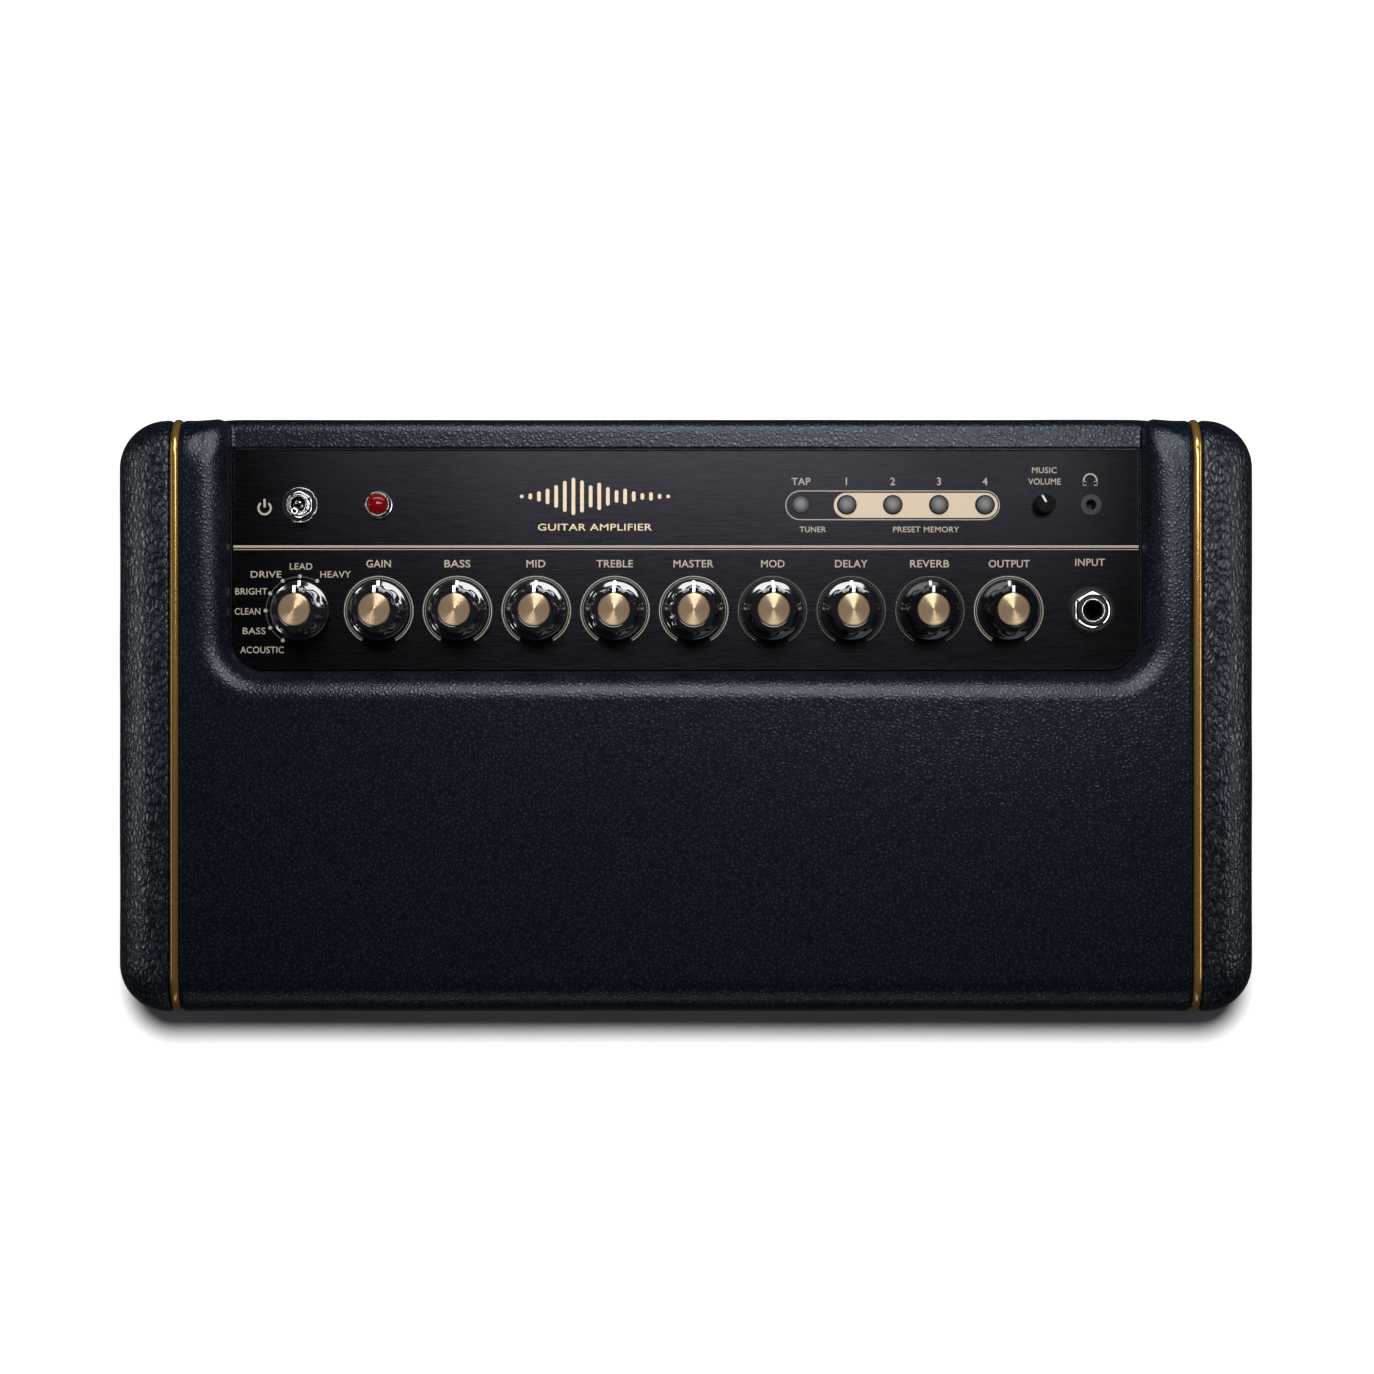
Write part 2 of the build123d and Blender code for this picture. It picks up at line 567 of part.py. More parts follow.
def cut_ring(body, x, y, count, start, ring, z0, z1, r):
    """Cut count upright grooves of radius r, evenly round the ring from start degrees."""
    for k in range(count):
        a = math.radians(start + 360 / count * k)
        body = body - cyl(x + ring * math.cos(a), y + ring * math.sin(a),
                          PANEL_Z + z0, PANEL_Z + z1, r)
    return body


def knob(x):
    body = rev_z(x, ROW_Y, KNOB, PANEL_Z)
    return cut_ring(body, x, ROW_Y, FLUTES, 90 + 22.5, FLUTE_RING, 4.4, 18, FLUTE_R)


def knob_cap(x):
    cap = cyl(x, ROW_Y, PANEL_Z + CAP_SEAT, PANEL_Z + CAP_TOP, 5.6)
    return chamfer(cap.faces().sort_by(Axis.Z)[-1].edges(), 0.25)


def music_knob():
    body = rev_z(MUSIC_X, TOP_ROW_Y, MUSIC_KNOB, PANEL_Z)
    return cut_ring(body, MUSIC_X, TOP_ROW_Y, NOTCHES, 0, NOTCH_RING, 2.4, 12, NOTCH_R)


for name, x in KNOB_PLACES.items():
    save(f"{name}_knob", knob(x), cyl(x, ROW_Y, SHAFT_Z, PANEL_Z + BORE_TOP, SHAFT_R))
    save(f"{name}_knob_cap", knob_cap(x))
save("music_volume_knob", music_knob(),
     cyl(MUSIC_X, TOP_ROW_Y, SHAFT_Z, PANEL_Z + MUSIC_BORE_TOP, MUSIC_SHAFT_R))
for name, x in BUTTON_PLACES.items():
    save(f"{name}_button", rev_z(x, TOP_ROW_Y, BUTTON, PANEL_Z))

# ---------------------------------------------------------------- power switch
TOGGLE_TILT = 13.0                  # lever angle from upright, top towards the front
PIVOT_Z = PANEL_Z + 2.0
TIP_R = 1.45


def toggle_body():
    x, y = TOGGLE_X, TOP_ROW_Y
    body = box_up(x, y, 6.5, 4, BOARD_TOP, UNDER_Z)
    bush = cyl(x, y, UNDER_Z, PANEL_Z + 5.6, 3.0) + cyl(x, y, UNDER_Z, FLOOR_Z, 4.5)
    bush = chamfer(bush.edges().sort_by(Axis.Z)[-1], 0.5)
    bush = bush - cyl(x, y, UNDER_Z, PANEL_Z + 10, 2.35)
    washer = cyl(x, y, PANEL_Z, PANEL_Z + 0.6, 5.9) - panel_drill(x, y, 3.02)
    nut = hexagon(x, y, PANEL_Z + 0.6, PANEL_Z + 2.8, 8.2) - panel_drill(x, y, 3.02)
    return [body, bush, washer, nut]


def toggle_lever():
    lever = Sphere(2.25)
    lever = lever + Pos(0, 0, 6.0) * Cone(1.0, 1.3, 12.0)
    lever = lever + Pos(0, 0, 12.0) * Cone(1.3, TIP_R, 1.0)
    lever = lever + Pos(0, 0, 12.6) * Sphere(TIP_R)
    return Pos(TOGGLE_X, TOP_ROW_Y, PIVOT_Z) * Rot(TOGGLE_TILT, 0, 0) * lever


save("power_toggle_body", *toggle_body())
save("power_toggle_lever", toggle_lever())

# ---------------------------------------------------------------- indicator, jacks
# Profiles: (radius, height above the panel).
BEZEL = [(0, -8), (3.0, -8), (3.0, 0), (4.1, 0), (4.1, 1.0), (3.9, 4.6), (3.7, 5.0),
         (3.45, 5.0), (3.45, 2.0), (0, 2.0)]
LENS = [(0, 2.0), (3.4, 2.0), (3.4, 4.9), dome(3.4, 4.9, 6.9)]
JACK_WASHER = [(4.75, 0), (8.0, 0), (8.0, 0.9), (6.9, 2.3), (4.75, 2.3)]


def input_jack():
    x, y = INPUT_X, ROW_Y
    body = box_up(x, y, 7.6, 9, 158, FLOOR_Z)
    body = body + cyl(x, y, FLOOR_Z - 1, PANEL_Z + 5.2, 4.7) - cyl(x, y, 162, 200, 3.25)
    return [body, rev_z(x, y, JACK_WASHER, PANEL_Z)]


def input_nut():
    nut = hexagon(INPUT_X, ROW_Y, PANEL_Z + 2.3, PANEL_Z + 4.6, 11.6)
    return nut - panel_drill(INPUT_X, ROW_Y, 4.72)


def headphone_jack():
    x, y = PHONES_X, TOP_ROW_Y
    body = box_up(x, y, 4.5, 4.5, BOARD_TOP, FLOOR_Z)
    body = body + cyl(x, y, FLOOR_Z - 1, PANEL_Z, 3.0) + cyl(x, y, PANEL_Z, PANEL_Z + 0.9, 3.5)
    return body - cyl(x, y, BOARD_TOP + 1.6, 200, 1.8)


save("indicator_bezel", rev_z(LAMP_X, TOP_ROW_Y, BEZEL, PANEL_Z))
save("indicator_lens", rev_z(LAMP_X, TOP_ROW_Y, LENS, PANEL_Z))
save("input_jack", *input_jack())
save("input_jack_nut", input_nut())
save("headphone_jack", headphone_jack())

# ---------------------------------------------------------------- feet and screws
# Profile: (radius, height above the floor).
FOOT = [(1.75, 5.0), (3.6, 5.0), (3.6, 0), (11.4, 0), (12.0, 0.6), (13.0, 9.2),
        (12.6, Z_BOT), (1.75, Z_BOT)]


def foot_screw(x, y):
    screw = cyl(x, y, 3.4, 5.0, HEAD_R) + cyl(x, y, 4.0, 18.0, SCREW_R)
    return screw - box_up(x, y, 2, 0.4, 3, 4.2) - box_up(x, y, 0.4, 2, 3, 4.2)


def rear_screw(x, z):
    screw = cyl_y(x, z, REAR_OUT_Y, REAR_OUT_Y + 1.4, HEAD_R)
    screw = screw + cyl_y(x, z, 88.0, REAR_OUT_Y + 0.4, SCREW_R)
    return cut_cross(screw, x, z, REAR_OUT_Y + 0.8, REAR_OUT_Y + 2, reach=2, half=0.4)


def plate_screw(x, z):
    head = cyl_y(x, z, PLATE_OUT_Y, PLATE_OUT_Y + 0.3, HEAD_R - 0.3)
    return head + cyl_y(x, z, REAR_Y + 0.2, PLATE_OUT_Y + 0.1, SCREW_R)


save("rubber_feet", *[rev_z(x, y, FOOT) for x, y in FEET])
save("case_screws", *[foot_screw(x, y) for x, y in FEET],
     *[rear_screw(x, z) for x, z in REAR_SCREWS],
     *[plate_screw(x, z) for x, z in PLATE_SCREWS])


# ---------------------------------------------------------------- driver leads
def lead(side, board_x):
    """Lead from the amplifier board to the driver on one side."""
    path = Edge.make_spline([
        (board_x, 73.0, 98.5 + side),
        (board_x - 4 + side * 6, 40.0, 125.0),
        (side * 50.0, 0.0, 128.0 + 3 * side),
        (side * SPK_X, -33.0, SPK_Z + 22.0),
    ])
    section = Plane(origin=path @ 0, z_dir=path % 0) * Circle(1.2)
    return sweep(section, path=Wire([path]))


save("driver_leads", lead(-1, 66.0), lead(1, 70.0))
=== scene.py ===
"""A small guitar amplifier: a vinyl-covered cabinet with its controls on top.

X runs to the right, -Y is the front with the grille cloth, +Y the rear and +Z up; the
cabinet is centred on X and Y and stands on the floor at z = 0. Sizes are in millimetres
and become metres when a mesh is made; lights, camera and materials are in metres.
"""

import json
import math

import bpy
import numpy as np
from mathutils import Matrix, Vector

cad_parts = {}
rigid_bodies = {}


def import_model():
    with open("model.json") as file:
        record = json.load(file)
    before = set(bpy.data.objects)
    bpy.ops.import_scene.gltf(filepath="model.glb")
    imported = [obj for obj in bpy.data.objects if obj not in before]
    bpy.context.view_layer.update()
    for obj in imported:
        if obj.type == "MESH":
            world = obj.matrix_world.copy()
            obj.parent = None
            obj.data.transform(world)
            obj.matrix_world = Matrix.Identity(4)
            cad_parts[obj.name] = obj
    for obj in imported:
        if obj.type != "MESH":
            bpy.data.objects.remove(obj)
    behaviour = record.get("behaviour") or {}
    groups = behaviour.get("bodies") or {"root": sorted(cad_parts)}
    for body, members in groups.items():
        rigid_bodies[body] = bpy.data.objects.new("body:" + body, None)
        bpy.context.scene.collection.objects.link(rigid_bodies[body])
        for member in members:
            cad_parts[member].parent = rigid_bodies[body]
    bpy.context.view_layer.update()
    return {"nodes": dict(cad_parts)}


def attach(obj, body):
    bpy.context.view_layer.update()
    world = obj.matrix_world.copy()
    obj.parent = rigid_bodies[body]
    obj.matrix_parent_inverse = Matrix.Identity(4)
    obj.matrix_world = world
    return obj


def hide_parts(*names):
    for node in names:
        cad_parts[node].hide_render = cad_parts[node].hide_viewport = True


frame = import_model()
MM = 0.001
ROOT = "cabinet"

# ------------------------------------------------------------------ sizes (mm)
WIDTH, DEPTH, Z_BOT, Z_TOP = 380.0, 198.0, 10.0, 203.0
R_PLAN, R_TOP, R_BOT = 16.0, 12.0, 5.0          # corner radii of the cabinet
SEAM_X = 170.0                                  # seam between the middle and each end
PIPE_R, PIPE_DEPTH = 1.45, 1.0                  # cord radius, and its axis below the skin
LIP_R, BED_R = 1.3, 1.6                         # vinyl turned in beside the cord
PANEL_Z = 188.0
BOARD_TOP = -11.4                               # from PANEL_Z
PANEL_X, PANEL_Y0, PANEL_Y1, PANEL_R = 152.9, 15.1, 89.5, 11.4
POCKET_GAP = 0.2
ROLL_R, RAIL_Z = 9.7, 188.4
GRILLE, GRILLE_Y = (158.0, 24.0, 183.0), -90.0  # opening: half width, bottom, top
REAR, REAR_Y = (150.0, 30.0, 172.0), 92.5
ROW_Y, TOP_ROW_Y = 35.4, 71.0
KNOBS = ["amp_type", "gain", "bass", "mid", "treble", "master", "mod", "delay", "reverb", "output"]
KNOB_X = {n: -129.9 + 26.5 * i for i, n in enumerate(KNOBS)}
BUTTONS = ["tap_button"] + [f"preset_{i}_button" for i in range(1, 5)]
BUTTON_X = {n: 38.6 + 15.5 * i for i, n in enumerate(BUTTONS)}
TOGGLE_X, LAMP_X = KNOB_X["amp_type"], KNOB_X["gain"]
MUSIC_X, INPUT_X = 120.4, 136.4


# ------------------------------------------------------------------ node helpers
class Value:
    """A shader output; each arithmetic sign between scalars adds one Math node."""

    def __init__(self, graph, socket):
        self.graph, self.socket = graph, socket

    def __add__(self, other):
        return self.graph.math("ADD", self, other)

    def __sub__(self, other):
        return self.graph.math("SUBTRACT", self, other)

    def __rsub__(self, other):
        return self.graph.math("SUBTRACT", other, self)

    def __mul__(self, other):
        return self.graph.math("MULTIPLY", self, other)

    def __truediv__(self, other):
        return self.graph.math("DIVIDE", self, other)

    def line(self, base, slope):
        return self.graph.math("MULTIPLY_ADD", self, slope, base)


class Graph:
    """Short calls for building a material's node tree."""

    def __init__(self, name):
        self.mat = bpy.data.materials.new(name)
        self.mat.use_nodes = True
        self.tree = self.mat.node_tree
        self.place = self.add("ShaderNodeTexCoord", "Object")

    def put(self, socket, value):
        if isinstance(value, Value):
            self.tree.links.new(value.socket, socket)
        elif isinstance(value, tuple) and len(value) == 3 and socket.type == "RGBA":
            socket.default_value = (*value, 1.0)
        else:
            socket.default_value = value

    def add(self, kind, output, inputs=None, **props):
        """Adds a node and gives back one of its outputs."""
        node = self.tree.nodes.new(kind)
        for key, value in props.items():
            setattr(node, key, value)
        for key, value in (inputs or {}).items():
            self.put(node.inputs[key], value)
        return Value(self, node.outputs[output])

    def surface(self, **values):
        """Sets inputs of the Principled shader and returns the material."""
        for key, value in values.items():
            self.put(self.tree.nodes["Principled BSDF"].inputs[key.replace("_", " ")], value)
        return self.mat

    def math(self, op, a, b=0.0, c=0.0):
        return self.add("ShaderNodeMath", 0, {0: a, 1: b, 2: c}, operation=op)

    def vmath(self, op, a, b=(0, 0, 0)):
        output = "Value" if op == "LENGTH" else "Vector"
        return self.add("ShaderNodeVectorMath", output, {0: a, 1: b}, operation=op)

    def split(self, vector):
        first = self.add("ShaderNodeSeparateXYZ", 0, {0: vector})
        return [first] + [Value(self, s) for s in first.socket.node.outputs[1:]]

    def join(self, x, y, z):
        return self.add("ShaderNodeCombineXYZ", 0, {0: x, 1: y, 2: z})

    def stretched(self, *scale):
        return self.vmath("MULTIPLY", self.place, scale)

    def warped(self, scale, shift):
        """Object coordinates pushed about by a coloured noise."""
        noise = self.noise(scale=scale, detail=2.0, output="Color")
        centred = self.vmath("SUBTRACT", noise, (0.5, 0.5, 0.5))
        return self.vmath("ADD", self.place, self.vmath("MULTIPLY", centred, (shift,) * 3))

    def from_axis(self, x, y):
        return self.math("SQRT", x * x + y * y)

    def noise(self, at=None, scale=1.0, detail=4.0, rough=0.5, distortion=0.0, output="Fac"):
        return self.add("ShaderNodeTexNoise", output, {
            "Vector": at or self.place, "Scale": scale, "Detail": detail,
            "Roughness": rough, "Distortion": distortion})

    def voronoi(self, at, scale, feature="DISTANCE_TO_EDGE", **more):
        inputs = {"Vector": at, "Scale": scale, "Randomness": 1.0, **more}
        return self.add("ShaderNodeTexVoronoi", "Distance", inputs, feature=feature)

    def ramp(self, value, over=(0.3, 0.7), to=(0.0, 1.0)):
        """Smooth step; the default range is the busy middle of a noise."""
        return self.add("ShaderNodeMapRange", "Result", {
            "Value": value, "From Min": over[0], "From Max": over[1],
            "To Min": to[0], "To Max": to[1]}, interpolation_type="SMOOTHSTEP")

    def mix(self, fac, low, high):
        return self.add("ShaderNodeMix", 2, {0: fac, 6: low, 7: high}, data_type="RGBA")

    def bump(self, height, strength, distance, **more):
        return self.add("ShaderNodeBump", "Normal", {
            "Height": height, "Strength": strength, "Distance": distance, **more})

    def edge_wear(self):
        """0 on faces to 1 on sharp convex edges, from the curvature of the mesh."""
        pointiness = self.add("ShaderNodeNewGeometry", "Pointiness")
        return self.ramp(pointiness, over=(0.52, 0.60))


def times(colour, factor):
    return tuple(v * factor for v in colour)


# ------------------------------------------------------------------ materials
def vinyl():
    """Pebbles with creases between: drawn out front to back on the ends, even in the middle."""
    g = Graph("navy_vinyl")
    spot = g.warped(scale=260.0, shift=0.0013)
    x, y, z = g.split(spot)
    ends = g.math("GREATER_THAN", g.math("ABSOLUTE", x), SEAM_X * MM)
    drawn = g.join(x, y * ends.line(base=0.94, slope=-0.38), z)
    large = g.voronoi(drawn, scale=ends.line(base=760.0, slope=-140.0))
    small = g.voronoi(g.vmath("ADD", spot, (0.31, 0.17, 0.05)), scale=1250.0)
    patch = g.ramp(g.noise(scale=70.0, detail=2.0), over=(0.40, 0.62))
    pebble = g.ramp(large, over=(0.0, 0.44))
    crease = g.ramp(large, over=(0.0, 0.12))
    fine = g.ramp(small, over=(0.0, 0.34))
    pores = g.noise(scale=5200.0, detail=3.0, rough=0.65)
    # relief, as shares of the full bump height
    height = (pebble * 0.66 + fine * (patch * ends).line(base=0.15, slope=0.08)
              + crease * ends.line(base=0.08, slope=0.05) + pores * 0.04)
    swell = g.bump(g.noise(scale=38.0, detail=2.0), strength=0.07, distance=0.0007)
    top = g.ramp(height, over=(0.10, 0.78))
    blue = g.mix(g.noise(scale=16.0, detail=3.0),
                 low=(0.0040, 0.0056, 0.0096), high=(0.0050, 0.0069, 0.0114))
    # painted shade: the creases between the pebbles take this darker colour (darker still on the
    # ends) and the pebble tops the bluer one
    deep = g.mix(ends, low=(0.0012, 0.0019, 0.0034), high=(0.0007, 0.0010, 0.0018))
    rough = g.ramp(height, over=(0.2, 0.85)).line(base=ends.line(base=0.315, slope=0.03),
                                                  slope=-0.06)
    return g.surface(
        Base_Color=g.mix(top, deep, blue),
        Roughness=rough + (g.noise(scale=90.0) - 0.5) * 0.03,
        Normal=g.bump(height, strength=1.0, distance=ends.line(base=0.000092, slope=0.000118),
                      Normal=swell),
        IOR=1.49,
        Specular_IOR_Level=top.line(base=ends.line(base=0.21, slope=0.0),
                                    slope=ends.line(base=0.11, slope=0.23)),
        Specular_Tint=(0.82, 0.91, 1.0))


def piping():
    g = Graph("gold_piping")
    tone = g.mix(g.noise(scale=18.0, detail=3.0),
                 low=(0.255, 0.145, 0.040), high=(0.315, 0.185, 0.056))
    fine = g.noise(scale=3000.0, detail=3.0, rough=0.6)
    rub = g.ramp(g.noise(g.stretched(1.0, 0.25, 0.25), scale=300.0, rough=0.7),
                 over=(0.66, 0.80))
    return g.surface(
        Base_Color=g.mix(rub * 0.12, low=tone, high=(0.14, 0.08, 0.022)),
        Metallic=0.80, Roughness=g.ramp(fine, to=(0.19, 0.25)) + rub * 0.04, IOR=1.5,
        Coat_Weight=0.25, Coat_Roughness=0.14,
        Normal=g.bump(fine, strength=0.06, distance=0.00003))


def brushed_black(name, tint, upright=False):
    """Strokes along X, on a level face or on an upright one that faces Y."""
    g = Graph(name)
    x, y, z = g.split(g.place)
    if upright:
        y, z = z, y
    strokes = g.noise(g.join(x * 160.0, y * 2800.0, z * 40.0), detail=5.0, rough=0.62)
    broad = g.noise(g.join(x * 60.0, y * 1100.0, 0.0), detail=3.0, rough=0.6)
    brushing = strokes * 0.90 + broad * 0.10
    smudge = g.noise(scale=26.0, rough=0.6)
    return g.surface(
        Base_Color=g.mix(g.ramp(brushing), low=times(tint, 0.82), high=times(tint, 1.35)),
        Metallic=1.0, Roughness=g.ramp(brushing, to=(0.235, 0.285)) + smudge * 0.04,
        Anisotropic=0.66, Tangent=g.join(0.0, 0.0, 1.0) if upright else g.join(0.0, 1.0, 0.0),
        Normal=g.bump(brushing, strength=0.10, distance=0.00008))


def print_ink(name, colour, rough=0.55):
    g = Graph(name)
    worn = g.ramp(g.noise(scale=900.0, rough=0.7), over=(0.60, 0.78))
    return g.surface(
        Base_Color=g.mix(worn, low=colour, high=times(colour, 0.78)),
        Roughness=g.ramp(g.noise(scale=2600.0, detail=3.0), to=(rough - 0.08, rough + 0.1)),
        Normal=g.bump(g.noise(scale=3200.0, detail=2.0), strength=0.2, distance=0.00004))


def moulded(name, colour, rough, grain=0.0, coat=0.0, scale=2400.0, spec=0.5):
    """Moulded plastic or rubber: fine grain, flow marks and paler edges."""
    g = Graph(name)
    fine = g.noise(scale=scale, detail=3.0, rough=0.6)
    flow = g.noise(scale=60.0, rough=0.55)
    rubbed = tuple(min(1.0, v * 1.9 + 0.012) for v in colour)
    base = g.mix(g.ramp(flow, over=(0.35, 0.7)), low=colour, high=times(colour, 1.25))
    return g.surface(
        Base_Color=g.mix(g.edge_wear() * 0.5, low=base, high=rubbed),
        Roughness=g.ramp(flow, to=(rough - 0.03, rough + 0.06)) + (fine - 0.5) * 0.08,
        Normal=g.bump(fine, strength=0.12 + grain, distance=0.00004 + 0.0001 * grain),
        Coat_Weight=coat, Coat_Roughness=0.05, Specular_IOR_Level=spec)


def metal(name, colour, rough, streak=None, metallic=1.0):
    g = Graph(name)
    at = g.stretched(*streak) if streak else g.place
    fine = g.noise(at, scale=1800.0, rough=0.6)
    spots = g.ramp(g.noise(scale=320.0, rough=0.65), over=(0.55, 0.75))
    return g.surface(
        Base_Color=g.mix(spots * 0.7, low=colour, high=times(colour, 0.65)), Metallic=metallic,
        Roughness=g.ramp(fine, to=(rough * 0.75, rough * 1.25)) + spots * 0.10,
        Normal=g.bump(fine, strength=0.12, distance=0.00003))


def spun_gold():
    """Turned cap: circular tool marks about the cap's own axis."""
    g = Graph("spun_gold")
    x, y, _ = g.split(g.place)
    radius = g.from_axis(x, y)
    rings = g.noise(g.join(radius * 5200.0, 0.0, 0.0), rough=0.7)
    broad = g.noise(g.join(radius * 1500.0, 3.0, 0.0), detail=2.0, rough=0.6)
    grain = g.noise(scale=2600.0, detail=3.0, rough=0.6)
    marks = rings * 0.6 + (broad * 0.25 + grain * 0.15)
    return g.surface(
        Base_Color=g.mix(g.ramp(marks, over=(0.34, 0.66)),
                         low=(0.52, 0.362, 0.228), high=(0.74, 0.550, 0.362)),
        Metallic=1.0, Roughness=g.ramp(marks, to=(0.34, 0.40)),
        Anisotropic=0.89, Anisotropic_Rotation=0.25,
        Tangent=g.add("ShaderNodeTangent", 0, direction_type="RADIAL", axis="Z"),
        Normal=g.bump(marks, strength=0.16, distance=0.00005))


def lamp_red():
    """Lens that glows from a core a little below its middle."""
    g = Graph("red_lens")
    box = g.add("ShaderNodeTexCoord", "Generated")
    off_core = g.vmath("LENGTH", g.vmath("SUBTRACT", box, (0.5, 0.5, 0.35)))
    core = g.ramp(off_core, over=(0.05, 0.50), to=(1.0, 0.0))
    ribs = g.noise(scale=900.0, detail=2.0)
    return g.surface(
        Base_Color=g.mix(core, low=(0.15, 0.001, 0.002), high=(0.52, 0.006, 0.010)),
        Roughness=g.ramp(ribs, to=(0.08, 0.16)), Coat_Weight=0.4, Coat_Roughness=0.03,
        Specular_IOR_Level=0.35, Transmission_Weight=0.12, IOR=1.5,
        Emission_Color=(0.55, 0.004, 0.008), Emission_Strength=core * 0.24,
        Normal=g.bump(ribs, strength=0.15, distance=0.0002))


def frosted():
    """Translucent button, with a painted highlight at its middle and painted shade towards its
    rim.
    """
    g = Graph("frosted_button")
    box = g.add("ShaderNodeTexCoord", "Generated")
    x, y, _ = g.split(g.vmath("SUBTRACT", box, (0.5, 0.5, 0.5)))
    speck = g.noise(scale=4200.0, detail=3.0, rough=0.7)
    # painted highlight and shade: pale grey in the middle of the dome, darker towards the rim, as
    # from a lamp above
    base = g.mix(g.ramp(g.from_axis(x, y), over=(0.08, 0.40)),
                 low=(0.165, 0.160, 0.170), high=(0.060, 0.058, 0.064))
    return g.surface(
        Base_Color=g.mix(g.ramp(speck, over=(0.55, 0.8)), low=base, high=(0.12, 0.12, 0.125)),
        Roughness=g.ramp(speck, to=(0.42, 0.58)), Subsurface_Weight=0.15,
        Subsurface_Scale=0.001, Normal=g.bump(speck, strength=0.25, distance=0.00008))


def woven():
    """Plain weave of dark yarn with a paler fleck, in the plane of the grille."""
    g = Graph("grille_cloth")
    pitch = 1.05 * MM
    x, _, z = g.split(g.warped(scale=120.0, shift=0.00035))
    u, v = x / pitch, z / pitch

    def wave(t):
        return g.math("SINE", t * math.pi)

    over = g.ramp(wave(u) * wave(v), over=(-0.12, 0.12))
    warp, weft = g.math("ABSOLUTE", wave(u)), g.math("ABSOLUTE", wave(v))
    relief = warp * over + weft * (1.0 - over)
    along_z, along_x = [g.noise(g.stretched(*scale), scale=1500.0, detail=3.0, rough=0.7)
                        for scale in ((9.0, 1.0, 1.0), (1.0, 1.0, 9.0))]
    fibre = along_z * over + along_x * (1.0 - over)
    height = relief + fibre * 0.35
    dark = g.mix(g.noise(scale=22.0, detail=3.0),
                 low=(0.006, 0.0065, 0.0085), high=(0.010, 0.0105, 0.013))
    pale = g.mix(fibre, low=(0.030, 0.029, 0.030), high=(0.085, 0.080, 0.076))
    tufts = g.noise(g.stretched(0.6, 1.0, 5.0), scale=260.0, detail=3.0, rough=0.7)
    fleck = (1.0 - over) * g.ramp(tufts, over=(0.46, 0.62))
    # painted shade: the low parts of the weave relief are coloured darker, nearly black
    yarn = g.mix(g.ramp(height, over=(0.15, 0.9)), low=(0.0015, 0.0015, 0.002), high=dark)
    return g.surface(
        Base_Color=g.mix(fleck * 0.75, yarn, pale), Roughness=0.86, Sheen_Weight=0.25,
        Sheen_Roughness=0.4, Specular_IOR_Level=0.25,
        Normal=g.bump(height, strength=0.7, distance=0.00030))


def painted_board():
    """Black paint over wood, chipped on the edges."""
    g = Graph("painted_board")
    paint = (0.010, 0.010, 0.011)
    x, y, z = g.split(g.place)
    grain = g.noise(g.join(x * 18.0, y * 220.0, z * 220.0), detail=5.0, rough=0.6)
    peel = g.noise(scale=700.0, detail=3.0, rough=0.6)
    chip = g.ramp(g.noise(scale=130.0, detail=5.0, rough=0.7), over=(0.70, 0.74))
    return g.surface(
        Base_Color=g.mix(chip * g.edge_wear(), low=g.mix(grain, paint, times(paint, 1.9)),
                         high=(0.26, 0.17, 0.09)),
        Roughness=g.ramp(peel, to=(0.5, 0.68)),
        Normal=g.bump(peel + grain, strength=0.25, distance=0.0002))


def textured_laminate():
    g = Graph("rear_laminate")
    cells = g.voronoi(g.place, scale=1250.0, feature="SMOOTH_F1", Smoothness=0.4)
    fine = g.noise(scale=3600.0, detail=3.0, rough=0.6)
    height = g.ramp(cells, over=(0.1, 0.8)) + fine * 0.4
    scuff = g.ramp(g.noise(g.stretched(1.0, 1.0, 6.0), scale=45.0, detail=5.0, rough=0.7),
                   over=(0.62, 0.8))
    return g.surface(
        Base_Color=g.mix(scuff * 0.4, low=(0.010, 0.0105, 0.0115), high=(0.030, 0.030, 0.031)),
        Roughness=g.ramp(height, over=(0.3, 1.2), to=(0.62, 0.45)),
        Normal=g.bump(height, strength=0.45, distance=0.00022))


def circuit():
    g = Graph("circuit_board")
    gaps = g.add("ShaderNodeTexBrick", "Fac", {
        "Vector": g.stretched(90.0, 90.0, 90.0), "Scale": 3.0, "Mortar Size": 0.035})
    traces = 1.0 - gaps
    return g.surface(
        Base_Color=g.mix(traces, low=(0.012, 0.085, 0.035), high=(0.006, 0.045, 0.020)),
        Roughness=g.ramp(g.noise(scale=900.0, detail=3.0), to=(0.28, 0.42)),
        Normal=g.bump(traces, strength=0.3, distance=0.00005))


def paper():
    g = Graph("cone_paper")
    fibre = g.noise(g.stretched(1.0, 3.0, 1.0), scale=620.0, detail=6.0, rough=0.75,
                    distortion=0.6)
    return g.surface(
        Base_Color=g.mix(fibre, low=(0.012, 0.011, 0.011), high=(0.040, 0.037, 0.034)),
        Roughness=g.ramp(fibre, to=(0.78, 0.92)),
        Normal=g.bump(fibre, strength=0.6, distance=0.0003))


def lead_sleeve():
    g = Graph("lead_sleeve")
    dust = g.noise(scale=260.0, rough=0.6)
    return g.surface(
        Base_Color=g.mix(dust, low=(0.18, 0.006, 0.006), high=(0.30, 0.014, 0.012)),
        Roughness=g.ramp(dust, to=(0.32, 0.5)),
        Normal=g.bump(g.noise(scale=1500.0, detail=3.0), strength=0.2, distance=0.00008))


